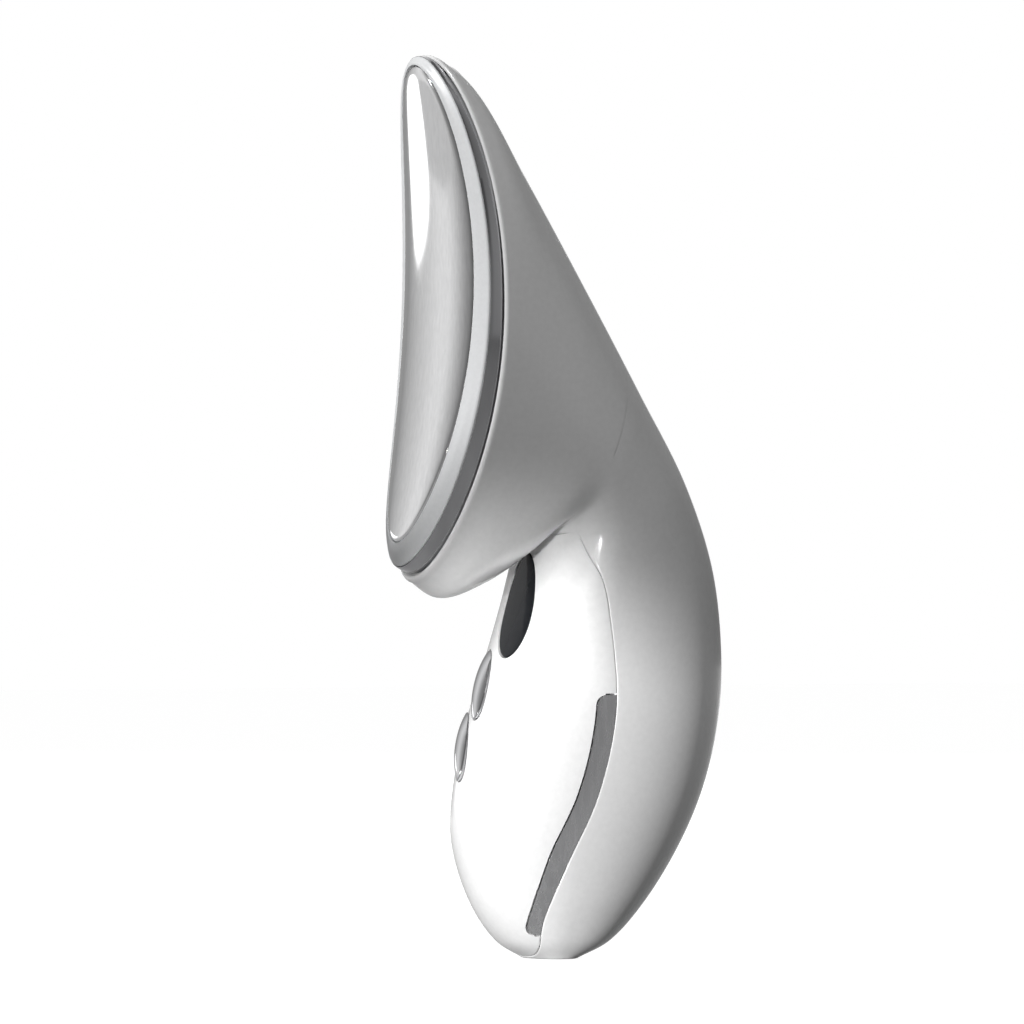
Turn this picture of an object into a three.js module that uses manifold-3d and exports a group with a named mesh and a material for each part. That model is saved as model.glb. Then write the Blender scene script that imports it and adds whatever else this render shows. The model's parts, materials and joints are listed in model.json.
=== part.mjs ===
// Microcurrent neck beauty device, in millimetres.
// +Z runs up the device to the head's tip, -Y is the treated side, X is the width.
// The origin is under the middle of the whole device, level with the flat of its foot. The sizes
// below are measured from the middle of the charging socket, FOOTPRINT_MIDDLE in front of it.
import * as THREE from 'three';
import { mergeVertices } from 'three/addons/utils/BufferGeometryUtils.js';
import Module from 'manifold-3d';

const wasm = await Module();
wasm.setup();

// General sizes
const FOOTPRINT_MIDDLE = 1.37;
const FIT = 0.3; // running clearance between neighbours
const WALL = 2.2; // housing wall
const AROUND = 36; // points round a lofted outline
const LENGTHWISE = 24; // sections from the head's rim to the foot

// Housing sections. Each one runs from the front edge to the back edge, as [y, z], and they
// fan from the head's rim, past the chin and the throat, down the handle to the foot.
const HEAD_TOP = 168.3;
const HEAD_HALF_WIDTH = 21.2;
const GRIP_HALF_WIDTH = 17;
const FOOT_HALF_WIDTH = 7;
const FOOT_HALF_DEPTH = 4.4;
const CHIN_LEVEL = 70.2;
const sections = [
  { front: [-28, CHIN_LEVEL], back: [-25.4, HEAD_TOP], half: HEAD_HALF_WIDTH, widest: 0.5,
    hollow: 8.7, frontPower: 2.05, backPower: 2.45 },
  { front: [-22.5, CHIN_LEVEL - 3.1], back: [-19.9, HEAD_TOP - 4.7], half: HEAD_HALF_WIDTH, widest: 0.5,
    hollow: 7, frontPower: 2.1, backPower: 2.3 },
  { front: [-15.5, CHIN_LEVEL - 0.9], back: [-11.6, HEAD_TOP - 16.9], half: HEAD_HALF_WIDTH, widest: 0.48,
    hollow: 5, frontPower: 2.2, backPower: 2.2 },
  { front: [-9.8, CHIN_LEVEL + 2.4], back: [0.5, HEAD_TOP - 36.3], half: HEAD_HALF_WIDTH, widest: 0.44,
    hollow: 3, frontPower: 2.3, backPower: 2.1 },
  { front: [-6.6, CHIN_LEVEL + 4.6], back: [14.8, HEAD_TOP - 60.3], half: HEAD_HALF_WIDTH - 0.6, widest: 0.38,
    hollow: 1, frontPower: 2.4, backPower: 2.1 },
  { front: [-6.4, CHIN_LEVEL + 2.6], back: [25.7, 89.5], half: GRIP_HALF_WIDTH + 2.6, widest: 0.34,
    hollow: 0, frontPower: 2.3, backPower: 2.1 },
  { front: [-7.6, 67], back: [32.2, 73], half: GRIP_HALF_WIDTH + 1.3, widest: 0.32,
    hollow: 0, frontPower: 2.2, backPower: 2.1 },
  { front: [-10.6, 57.5], back: [34.4, 58], half: GRIP_HALF_WIDTH + 0.3, widest: 0.35,
    hollow: 0, frontPower: 2.1, backPower: 2.1 },
  { front: [-15.1, 46], back: [34, 46], half: GRIP_HALF_WIDTH, widest: 0.41,
    hollow: 0, frontPower: 2, backPower: 2.1 },
  { front: [-18.3, 33], back: [31.2, 33], half: GRIP_HALF_WIDTH - 0.6, widest: 0.41,
    hollow: 0, frontPower: 2, backPower: 2.1 },
  { front: [-18.8, 22], back: [26.4, 22], half: GRIP_HALF_WIDTH - 2, widest: 0.42,
    hollow: 0, frontPower: 2.1, backPower: 2.1 },
  { front: [-15.2, 10.5], back: [18.8, 10.5], half: GRIP_HALF_WIDTH - 4.6, widest: 0.44,
    hollow: 0, frontPower: 2.1, backPower: 2.1 },
  { front: [-9.8, 3.2], back: [11.4, 3.2], half: FOOT_HALF_WIDTH + 2.6, widest: 0.46,
    hollow: 0, frontPower: 2.2, backPower: 2.2 },
  { front: [-FOOT_HALF_DEPTH, 0], back: [FOOT_HALF_DEPTH, 0], half: FOOT_HALF_WIDTH, widest: 0.5,
    hollow: 0, frontPower: 2.2, backPower: 2.2 },
];
const THROAT_SECTION = 4; // the section that starts highest in the throat

// Seam between the rear shell and the front cover, seen from the side, as [y, z]
const seamLine = [
  [-4.6, -1], [-6, 6.5], [-2.9, 17.5], [2.2, 29.6], [5.3, 42], [5.8, 51], [3.8, 65], [-0.4, 74], [-3.4, 76.8],
];
const throatEdge = [-6.6, 74.9];
const underChin = [[-9.3, 69.6], [-16, 61]];

// Head fittings: outlines seen from the front, from [y, z] at the bottom to [y, z] at the top
const plateOutline = {
  bottom: [-31.9, CHIN_LEVEL + 7.4],
  top: [-28.2, HEAD_TOP - 2.4],
  half: HEAD_HALF_WIDTH - 6,
  sag: 6.95,
  topPower: sections[0].backPower,
};
const ringOutline = {
  bottom: [-30.9, CHIN_LEVEL + 2.9],
  top: [-27.2, HEAD_TOP - 0.7],
  half: HEAD_HALF_WIDTH - 1.8,
  sag: 7.7,
  topPower: sections[0].backPower,
};
const rimOutline = {
  bottom: sections[0].front,
  top: sections[0].back,
  half: sections[0].half,
  sag: sections[0].hollow,
  topPower: sections[0].backPower,
};
const BOTTOM_POWER = sections[0].frontPower;
const RIM_MARGIN = 2; // how far the cut in front of the rim runs past its edge
const PLATE_CROWN = 2;
const PLATE_THICKNESS = 1.2;
const PLATE_SKIRT = 2.2;
const PLATE_EDGE_ROUND = 0.5;
const PAD_THICKNESS = 0.8;
const PAD_MARGIN = 3.6;
const RING_THICKNESS = 1.1;
const BEZEL_LIP = 1.4;
const BEZEL_SPIGOT = 3;
const BEZEL_WALL = 1.5;
const LED_BOARD_INSET = 2.8;
const LED_INSET = 4.2;
const LED_BOARD_THICKNESS = 0.8;
const LED_SIZE = [1.6, 0.5, 1.6];
const LED_PAIRS = 6;
const CARRIER_SCREW_X = HEAD_HALF_WIDTH - 13.2;
const CARRIER_SCREW_LEVELS = [HEAD_TOP - 68.3, HEAD_TOP - 27.3];
const SCREW_SEAT = 2; // thickness left under a carrier screw's head
const CARRIER_THICKNESS = 1.8;

// Front cover fittings. The window and both buttons are ovals that lean the same way.
const WINDOW = { x: 1.2, z: 65.9, halfWidth: 5.3, halfHeight: 10.1, lean: 19 };
const WINDOW_THICKNESS = 1.2;
const WINDOW_LEDGE = 1.2;
const WINDOW_SINK = 0.1;
const POWER_BUTTON = { x: -1.9, z: 51, halfWidth: 2.8, halfHeight: 6.9, lean: 25 };
const MODE_BUTTON = { x: -3, z: 39.5, halfWidth: 2.8, halfHeight: 6.9, lean: 25 };
const BUTTON_RISE = 1.2;
const BUTTON_TRAVEL = 0.5;
const BUTTON_STEM_RADIUS = 1.4;
const BUTTON_FLANGE = 0.4;
const BUTTON_FLANGE_THICKNESS = 1;
const STRIP_WIDTH_TOP = 3.8;
const STRIP_WIDTH_FOOT = 2.4;
const STRIP_THICKNESS = 1;
const STRIP_END_SHARE = 0.45; // share of the strip's width that is left at its ends
const STRIP_FROM = 0.07; // share of the seam line at the strip's lower end
const STRIP_TO = 0.625; // share of the seam line at its upper end

// Handle electronics
const BOARD_Y = 3; // front face of the main board
const BOARD_THICKNESS = 1.6;
const BOARD_HALF_WIDTH = 11;
const BOARD_POST_X = 8.5;
const BOARD_POST_LEVELS = [27, 68.5];
const BOARD_BOTTOM = 20;
const BOARD_TOP = 72;
const SWITCH_SIZE = [6, 3.2, 6];
const PLUNGER_RADIUS = 1.5;
const PLUNGER_LENGTH = 1.8;
const BATTERY_RADIUS = 8.2;
const BATTERY_CAP_RADIUS = 2.6;
const BATTERY_LENGTH = 42;
const BATTERY_Y = 16.2;
const BATTERY_BOTTOM = 30;
const DISPLAY_HALF_HEIGHT = 6.5;
const DISPLAY_BEHIND = 1.8; // distance from the cover's inner wall to the display's face
const CRADLE_WALL = 1.6;
const SCREW_RADIUS = 1;
const SCREW_HEAD_RADIUS = 1.9;
const SCREW_HEAD_HEIGHT = 1.2;
const SCREW_LENGTH = 6;
const POST_RADIUS = 2.4;

// Contacts between the main board and the side electrodes
const CONTACT_Y = -0.6;
const CONTACT_Z = 34;

// Motor in the head
const MOTOR_RADIUS = 4;
const MOTOR_LENGTH = 16;
const MOTOR_Y = -8;
const MOTOR_BOTTOM = HEAD_TOP - 64.3;
const SHAFT_RADIUS = 0.75;
const SHAFT_SEAT = 3; // depth of the shaft in the motor
const SHAFT_TIP = 0.5; // length of shaft past the weight
const WEIGHT_RADIUS = 3.4;
const WEIGHT_LENGTH = 5;

// Charging socket
const SOCKET_HALF_WIDTH = 4.5;
const SOCKET_HALF_DEPTH = 1.63;
const SOCKET_WALL = 0.35;
const SOCKET_LENGTH = 7.4;
const SOCKET_SINK = 0.4;
const SOCKET_BOARD_Y = 2.6;
const SOCKET_POST_X = 6;
const SOCKET_POST_Z = 12.4;
const SOCKET_BOARD_THICKNESS = 1.2;
const SOCKET_BOARD_HALF_WIDTH = 8;
const SOCKET_BOARD_TOP = 16;

// Farther from the middle than any piece reaches to a side, for cutting shapes
const BEYOND = 40;

const signedPower = (value, power) => Math.sign(value) * Math.abs(value) ** power;

// Solids and meshes

function toSolid(geometry) {
  const bare = geometry.index ? geometry.clone() : geometry;
  bare.deleteAttribute('normal');
  bare.deleteAttribute('uv');
  const merged = mergeVertices(bare, 1e-5);
  const mesh = new wasm.Mesh({
    numProp: 3,
    vertProperties: new Float32Array(merged.attributes.position.array),
    triVerts: new Uint32Array(merged.index.array),
  });
  mesh.merge();
  return new wasm.Manifold(mesh);
}

function toGeometry(solid) {
  const mesh = solid.getMesh();
  const geometry = new THREE.BufferGeometry();
  geometry.setAttribute('position', new THREE.BufferAttribute(mesh.vertProperties, 3));
  geometry.setIndex(new THREE.BufferAttribute(mesh.triVerts, 1));
  geometry.computeVertexNormals();
  return geometry;
}

// Faces between neighbouring rings of points, closed by a fan at each end or back on itself
function loft(rings, ringed = false) {
  const count = rings[0].length;
  const points = rings.flat();
  const faces = [];
  const spans = ringed ? rings.length : rings.length - 1;
  for (let row = 0; row < spans; row++) {
    const next = (row + 1) % rings.length;
    for (let i = 0; i < count; i++) {
      const j = (i + 1) % count;
      faces.push(row * count + i, row * count + j, next * count + j);
      faces.push(row * count + i, next * count + j, next * count + i);
    }
  }
  if (!ringed) {
    for (const row of [0, rings.length - 1]) {
      const middle = new THREE.Vector3();
      rings[row].forEach((point) => middle.addScaledVector(point, 1 / count));
      const hub = points.push(middle) - 1;
      for (let i = 0; i < count; i++) {
        const here = row * count + i;
        const there = row * count + ((i + 1) % count);
        faces.push(...(row === 0 ? [hub, there, here] : [hub, here, there]));
      }
    }
  }
  const geometry = new THREE.BufferGeometry();
  const places = points.flatMap((point) => point.toArray());
  geometry.setAttribute('position', new THREE.Float32BufferAttribute(places, 3));
  geometry.setIndex(faces);
  let volume = 0;
  for (let f = 0; f < faces.length; f += 3) {
    const [a, b, c] = [points[faces[f]], points[faces[f + 1]], points[faces[f + 2]]];
    volume += a.dot(new THREE.Vector3().crossVectors(b, c));
  }
  if (volume < 0) {
    for (let f = 0; f < faces.length; f += 3) {
      [faces[f + 1], faces[f + 2]] = [faces[f + 2], faces[f + 1]];
    }
    geometry.setIndex(faces);
  }
  return toSolid(geometry);
}

function box(from, to) {
  const size = to.map((value, axis) => value - from[axis]);
  const shape = new THREE.BoxGeometry(...size);
  shape.translate(...from.map((value, axis) => value + size[axis] / 2));
  return toSolid(shape);
}

// Cylinder from one point to another
function rod(radius, from, to, sides = 24) {
  const start = new THREE.Vector3(...from);
  const run = new THREE.Vector3(...to).sub(start);
  const length = run.length();
  const shape = new THREE.CylinderGeometry(radius, radius, length, sides);
  shape.translate(0, length / 2, 0);
  const turn = new THREE.Quaternion().setFromUnitVectors(new THREE.Vector3(0, 1, 0), run.normalize());
  shape.applyQuaternion(turn);
  shape.translate(...from);
  return toSolid(shape);
}

// Side-view outline of [y, z] points, carried across from one x to another
function slab(outline, fromX, toX) {
  const shape = new THREE.Shape(outline.map(([y, z]) => new THREE.Vector2(y, z)));
  const body = new THREE.ExtrudeGeometry(shape, { depth: toX - fromX, bevelEnabled: false });
  body.applyMatrix4(new THREE.Matrix4().makeBasis(
    new THREE.Vector3(0, 1, 0), new THREE.Vector3(0, 0, 1), new THREE.Vector3(1, 0, 0)));
  body.translate(fromX, 0, 0);
  return toSolid(body);
}

// Leaning oval seen from the front, carried back from one y to another
function ovalBar({ x, z, halfWidth, halfHeight, lean }, grow, fromY, toY, sides = 32) {
  const tilt = THREE.MathUtils.degToRad(lean);
  const ringAt = (y) => Array.from({ length: sides }, (_, i) => {
    const angle = (i / sides) * Math.PI * 2;
    const point = new THREE.Vector3(
      (halfWidth + grow) * Math.cos(angle), 0, (halfHeight + grow) * Math.sin(angle));
    point.applyAxisAngle(new THREE.Vector3(0, 1, 0), -tilt);
    return point.add(new THREE.Vector3(x, y, z));
  });
  return loft([ringAt(fromY), ringAt(toY)]);
}

// Housing body

// Weights that let shares and powers count as much as lengths do in the spacing of their curves
const SHARE_WEIGHT = 40;
const POWER_WEIGHT = 9;
const through = (pick) => new THREE.CatmullRomCurve3(
  sections.map((section, i) => new THREE.Vector3(...pick(section, i))), false, 'centripetal');
const frontLine = through(({ front }) => [0, ...front]);
const backLine = through(({ back }) => [0, ...back]);
const girthLine = through(({ half, widest, hollow }) => [half, widest * SHARE_WEIGHT, hollow]);
const powerLine = through(({ frontPower, backPower }, i) => [
  frontPower * POWER_WEIGHT, backPower * POWER_WEIGHT, i]);

// How squarely a section meets an edge line: 1 is square, less is slanted
function squareness(line, share, along) {
  const tangent = line.getTangent(THREE.MathUtils.clamp(share, 0.001, 0.999));
  return Math.max(0.4, tangent.cross(along).length());
}

function housingRing(share, inset) {
  const front = frontLine.getPoint(share);
  const along = backLine.getPoint(share).sub(front);
  const length = along.length();
  along.normalize();
  const footward = new THREE.Vector3(0, along.z, -along.y);
  const girth = girthLine.getPoint(share);
  const powers = powerLine.getPoint(share);
  const widest = length * girth.y / SHARE_WEIGHT;
  const frontReach = widest - inset / squareness(frontLine, share, along);
  const backReach = length - widest - inset / squareness(backLine, share, along);
  return Array.from({ length: AROUND }, (_, i) => {
    const angle = (i / AROUND) * Math.PI * 2;
    const towardsBack = Math.sin(angle) >= 0;
    const power = (towardsBack ? powers.y : powers.x) / POWER_WEIGHT;
    const reach = signedPower(Math.sin(angle), 2 / power);
    const point = front.clone();
    point.addScaledVector(along, widest + reach * (towardsBack ? backReach : frontReach));
    point.addScaledVector(footward, girth.z * (1 - reach * reach));
    point.x = (girth.x - inset) * signedPower(Math.cos(angle), 2 / power);
    return point;
  });
}

// Share of the fan at which the front line passes a level between the foot and the throat
function shareAtLevel(level) {
  let low = THROAT_SECTION / (sections.length - 1);
  let high = 1;
  for (let step = 0; step < 30; step++) {
    const middle = (low + high) / 2;
    if (frontLine.getPoint(middle).z > level) low = middle;
    else high = middle;
  }
  return (low + high) / 2;
}

// The housing's outer form, moved in by a depth. With open, it runs on forward past the rim.
const housingCache = new Map();
function housing(inset, open = false) {
  const key = `${inset} ${open}`;
  if (!housingCache.has(key)) {
    const end = inset > 0 ? shareAtLevel(inset) : 1;
    const rings = [];
    for (let i = 0; i <= LENGTHWISE; i++) rings.push(housingRing((i / LENGTHWISE) * end, inset));
    if (open) {
      const forward = new THREE.Vector3(0, -rimOutline.sag - WALL, 0);
      rings.unshift(rings[0].map((point) => point.clone().add(forward)));
    } else {
      rings.unshift(housingRing(0, inset + 2 * WALL));
    }
    housingCache.set(key, loft(rings));
  }
  return housingCache.get(key);
}

// Points of a side-view line moved sideways: more than 0 is towards the rear shell
function shifted(points, distance) {
  return points.map(([y, z], i) => {
    const [y0, z0] = points[Math.max(0, i - 1)];
    const [y1, z1] = points[Math.min(points.length - 1, i + 1)];
    const run = Math.hypot(y1 - y0, z1 - z0);
    return [y + distance * (z1 - z0) / run, z - distance * (y1 - y0) / run];
  });
}

const seamCurve = new THREE.CatmullRomCurve3(seamLine.map(([y, z]) => new THREE.Vector3(0, y, z)));
const seamPoints = seamCurve.getSpacedPoints(26).map(({ y, z }) => [y, z]);

// Region of the front cover seen from the side, grown past the seam by a distance
function coverRegion(grow) {
  const edge = shifted([...seamPoints, throatEdge, ...underChin], grow);
  return slab([...edge, [-BEYOND, 50], [-BEYOND, -20], [-5, -20]], -BEYOND, BEYOND);
}

// Side strip region: between the seam and a line in front of it, with rounded front corners
function stripRegion(grow, fromX, toX) {
  const steps = 16;
  const cornerSteps = 2;
  const rear = [];
  const front = [];
  for (let i = 0; i <= steps; i++) {
    const share = THREE.MathUtils.lerp(STRIP_FROM, STRIP_TO, i / steps);
    const { y, z } = seamCurve.getPointAt(share);
    const tangent = seamCurve.getTangentAt(share);
    const taper = THREE.MathUtils.smoothstep(share, STRIP_FROM, STRIP_FROM + 0.2);
    const width = THREE.MathUtils.lerp(STRIP_WIDTH_FOOT, STRIP_WIDTH_TOP, taper);
    const fromEnd = Math.min(i, steps - i) / cornerSteps;
    const corner = Math.sqrt(1 - (1 - Math.min(fromEnd, 1)) ** 2);
    const reach = width * THREE.MathUtils.lerp(STRIP_END_SHARE, 1, corner) + grow;
    rear.push([y + tangent.z * (grow - FIT), z - tangent.y * (grow - FIT)]);
    front.push([y - tangent.z * reach, z + tangent.y * reach]);
  }
  const lift = seamCurve.getTangentAt(STRIP_TO);
  const drop = seamCurve.getTangentAt(STRIP_FROM);
  for (const line of [rear, front]) {
    line[0] = [line[0][0] - drop.y * grow, line[0][1] - drop.z * grow];
    line[steps] = [line[steps][0] + lift.y * grow, line[steps][1] + lift.z * grow];
  }
  return slab([...rear, ...front.reverse()], fromX, toX);
}

// Head outlines

function edgeLevel(outline, z) {
  const [bottomY, bottomZ] = outline.bottom;
  const [topY, topZ] = outline.top;
  const along = (2 * z - topZ - bottomZ) / (topZ - bottomZ);
  return (bottomY + topY) / 2 + along * (topY - bottomY) / 2 + outline.sag * (1 - along * along);
}

const onEdge = (outline) => (x, z) => edgeLevel(outline, z);

// Height of the plate's crown above its edge at a place on the plate
function crownAt(x, z) {
  const { bottom, top, half, topPower } = plateOutline;
  const along = Math.abs(2 * z - top[1] - bottom[1]) / (top[1] - bottom[1]);
  const power = 2 * z > top[1] + bottom[1] ? topPower : BOTTOM_POWER;
  const share = (Math.abs(x) / half) ** power + along ** power;
  return PLATE_CROWN * (1 - Math.min(1, share) ** (2 / power));
}
const plateFace = (x, z) => edgeLevel(plateOutline, z) - crownAt(x, z);

function leafRing({ outline, grow = 0, scale = 1, surface, shift = 0 }) {
  const middle = (outline.bottom[1] + outline.top[1]) / 2;
  const halfLength = (outline.top[1] - outline.bottom[1]) / 2 + grow;
  return Array.from({ length: AROUND }, (_, i) => {
    const angle = (i / AROUND) * Math.PI * 2;
    const power = Math.sin(angle) >= 0 ? outline.topPower : BOTTOM_POWER;
    const x = scale * (outline.half + grow) * signedPower(Math.cos(angle), 2 / power);
    const z = middle + scale * halfLength * signedPower(Math.sin(angle), 2 / power);
    return new THREE.Vector3(x, surface(x, z) + shift, z);
  });
}
const leafStack = (levels) => loft(levels.map(leafRing));
const leafBand = (levels) => loft(levels.map(leafRing), true);

// Head parts

const ringFace = onEdge(ringOutline);
const rimFace = onEdge(rimOutline);
const plateEdge = onEdge(plateOutline);
const carrierFace = (x, z) => ringFace(x, z) + BEZEL_LIP + LED_BOARD_THICKNESS + 0.5;

function treatmentPlate() {
  const front = [0.2, 0.4, 0.6, 0.78, 0.9, 0.97].map((scale) => ({
    outline: plateOutline, scale, surface: plateFace,
  }));
  const back = [1, 0.8, 0.55, 0.25].map((scale) => ({
    outline: plateOutline, grow: -PLATE_THICKNESS, scale, surface: plateFace, shift: PLATE_THICKNESS,
  }));
  return leafStack([
    ...front,
    { outline: plateOutline, surface: plateEdge, shift: PLATE_EDGE_ROUND },
    { outline: plateOutline, surface: plateEdge, shift: PLATE_SKIRT },
    { outline: plateOutline, grow: -PLATE_THICKNESS, surface: plateEdge, shift: PLATE_SKIRT },
    ...back,
  ]);
}

function heaterPad() {
  const depth = PLATE_THICKNESS + FIT;
  const level = (scale, shift) => ({
    outline: plateOutline, grow: -PAD_MARGIN, scale, surface: plateFace, shift,
  });
  return leafStack([
    level(0.3, depth), level(0.7, depth), level(1, depth),
    level(1, depth + PAD_THICKNESS), level(0.7, depth + PAD_THICKNESS), level(0.3, depth + PAD_THICKNESS),
  ]);
}

function lightRing() {
  const inner = { outline: plateOutline, grow: FIT + 0.1, surface: plateEdge };
  const outer = { outline: ringOutline, surface: ringFace };
  return leafBand([
    { ...inner, shift: 0.35 },
    { outline: ringOutline, grow: -0.4, surface: ringFace, shift: -0.15 },
    { ...outer, shift: 0.15 },
    { ...outer, shift: RING_THICKNESS },
    { ...inner, surface: ringFace, shift: RING_THICKNESS },
  ]);
}

function headBezel() {
  const lip = { outline: ringOutline, grow: FIT, surface: ringFace };
  const front = leafBand([
    { ...lip, shift: 0 },
    { outline: rimOutline, grow: -0.25, surface: rimFace, shift: -FIT - 0.4 },
    { outline: rimOutline, grow: -0.25, surface: rimFace, shift: -FIT },
    { outline: rimOutline, grow: -WALL - FIT - BEZEL_WALL, surface: rimFace, shift: -FIT },
    { outline: ringOutline, grow: -2.2, surface: ringFace, shift: BEZEL_LIP },
    { ...lip, shift: BEZEL_LIP },
  ]);
  const spigot = leafBand([
    { outline: rimOutline, grow: -WALL - FIT, surface: rimFace, shift: -FIT - 0.3 },
    { outline: rimOutline, grow: -WALL - FIT, surface: rimFace, shift: BEZEL_SPIGOT },
    { outline: rimOutline, grow: -WALL - FIT - BEZEL_WALL, surface: rimFace, shift: BEZEL_SPIGOT },
    { outline: rimOutline, grow: -WALL - FIT - BEZEL_WALL, surface: rimFace, shift: -FIT - 0.3 },
  ]);
  return front.add(spigot.intersect(housing(WALL + FIT, true)));
}

// Space inside the bezel's spigot, seen from the front
const insideSpigot = () => leafStack([-BEYOND, BEYOND].map((shift) => ({
  outline: rimOutline, grow: -WALL - BEZEL_WALL - 2 * FIT, surface: rimFace, shift,
})));

function ledBoard() {
  const outer = { outline: ringOutline, grow: -LED_BOARD_INSET, surface: ringFace };
  const inner = { outline: plateOutline, grow: FIT - PAD_MARGIN, surface: ringFace };
  const front = BEZEL_LIP + 0.5;
  let board = leafBand([
    { ...outer, shift: front }, { ...outer, shift: front + LED_BOARD_THICKNESS },
    { ...inner, shift: front + LED_BOARD_THICKNESS }, { ...inner, shift: front },
  ]);
  board = board.intersect(insideSpigot());
  const seats = leafRing({ outline: ringOutline, grow: -LED_INSET, surface: ringFace, shift: front });
  for (let i = 0; i < LED_PAIRS * 2; i++) {
    const seat = seats[Math.round(((i + 0.5) / (LED_PAIRS * 2)) * AROUND) % AROUND];
    const [width, height, depth] = LED_SIZE;
    board = board.add(box(
      [seat.x - width / 2, seat.y - height + 0.05, seat.z - depth / 2],
      [seat.x + width / 2, seat.y + 0.4, seat.z + depth / 2]));
  }
  return board;
}

// Tray behind the light board, with a raised table under the heater pad
function plateCarrier() {
  const flange = { outline: ringOutline, grow: -LED_BOARD_INSET, surface: carrierFace };
  const table = { outline: plateOutline, grow: -PAD_MARGIN };
  const tableTop = PLATE_THICKNESS + PAD_THICKNESS + 2 * FIT;
  const tray = leafStack([
    { ...table, scale: 0.4, surface: plateFace, shift: tableTop },
    { ...table, scale: 0.8, surface: plateFace, shift: tableTop },
    { ...table, surface: plateFace, shift: tableTop },
    { ...table, surface: carrierFace, shift: FIT },
    { ...flange, shift: FIT },
    { ...flange, shift: FIT + CARRIER_THICKNESS },
    { ...flange, scale: 0.4, shift: FIT + CARRIER_THICKNESS },
  ]);
  return tray.intersect(insideSpigot()).intersect(housing(WALL + 2 * FIT, true));
}

// Screws and posts

// A screw lying along y: its head starts at the given y and its shank runs towards +y or -y
function screw(x, headY, z, direction) {
  const tip = headY + direction * (SCREW_HEAD_HEIGHT + SCREW_LENGTH);
  const head = rod(SCREW_HEAD_RADIUS, [x, headY, z], [x, headY + direction * SCREW_HEAD_HEIGHT, z], 16);
  const shank = rod(SCREW_RADIUS, [x, headY + direction * SCREW_HEAD_HEIGHT / 2, z], [x, tip, z], 12);
  const slot = box([x - 0.3, headY - 0.4, z - 1.2], [x + 0.3, headY + 0.4, z + 1.2]);
  return head.add(shank).subtract(slot);
}

const pilot = (x, fromY, toY, z) => rod(SCREW_RADIUS + FIT, [x, fromY, z], [x, toY, z], 12);

const carrierBack = (x, z) => carrierFace(x, z) + FIT + CARRIER_THICKNESS;
const carrierScrewPlaces = [];
for (const z of CARRIER_SCREW_LEVELS) {
  for (const x of [-CARRIER_SCREW_X, CARRIER_SCREW_X]) {
    carrierScrewPlaces.push({ x, z, backY: carrierBack(x, z) });
  }
}
const boardScrewPlaces = [];
for (const z of BOARD_POST_LEVELS) {
  for (const x of [-BOARD_POST_X, BOARD_POST_X]) {
    boardScrewPlaces.push({ x, z });
  }
}

// Plate carrier with its screw seats
function finishedCarrier() {
  let carrier = plateCarrier();
  for (const { x, z, backY } of carrierScrewPlaces) {
    const seatY = backY - SCREW_SEAT;
    carrier = carrier
      .subtract(rod(SCREW_HEAD_RADIUS + FIT, [x, -BEYOND, z], [x, seatY, z], 16))
      .subtract(pilot(x, seatY - 1, backY + 3, z));
  }
  return carrier;
}

const carrierScrew = ({ x, z, backY }) => screw(x, backY - SCREW_SEAT - FIT - SCREW_HEAD_HEIGHT, z, 1);

// Housing parts

function faceY(x, z) {
  const probe = rod(0.05, [x, -BEYOND, z], [x, 0, z], 6).intersect(housing(0));
  return probe.boundingBox().min[1];
}

const layer = (outside, inside) => housing(outside).subtract(housing(inside));

// Everything in front of the rim, so that the shell ends on the face that carries the bezel
function frontOfRim() {
  const level = (grow, scale, shift) => ({ outline: rimOutline, grow, scale, surface: rimFace, shift });
  return leafStack([
    level(RIM_MARGIN, 0.3, -BEYOND),
    level(RIM_MARGIN, 1, -BEYOND),
    level(RIM_MARGIN, 1, 0),
    level(0, 1, 0),
    level(-WALL - 1, 1, 0),
    level(-WALL - 1, 0.5, 0),
  ]);
}

function rearShell() {
  let shell = housing(0).subtract(housing(WALL, true)).subtract(coverRegion(FIT)).subtract(frontOfRim());
  const posts = [];
  for (const { x, z, backY } of carrierScrewPlaces) {
    posts.push(rod(POST_RADIUS, [x, backY + FIT, z], [x, BEYOND, z]));
  }
  for (const side of [-1, 1]) {
    const x = side * SOCKET_POST_X;
    const y = SOCKET_BOARD_Y + SOCKET_BOARD_THICKNESS + FIT;
    posts.push(rod(POST_RADIUS, [x, y, SOCKET_POST_Z], [x, BEYOND, SOCKET_POST_Z]));
  }
  for (const post of posts) {
    shell = shell.add(post.intersect(housing(WALL / 2)));
  }
  for (const { x, z, backY } of carrierScrewPlaces) {
    shell = shell.subtract(pilot(x, backY, backY + SCREW_LENGTH, z));
  }
  for (const side of [-1, 1]) {
    const x = side * SOCKET_POST_X;
    shell = shell.subtract(pilot(x, SOCKET_BOARD_Y, SOCKET_BOARD_Y + SCREW_LENGTH + 2, SOCKET_POST_Z));
  }
  return shell.subtract(socketBar(FIT, -2, WALL + 4));
}

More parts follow.
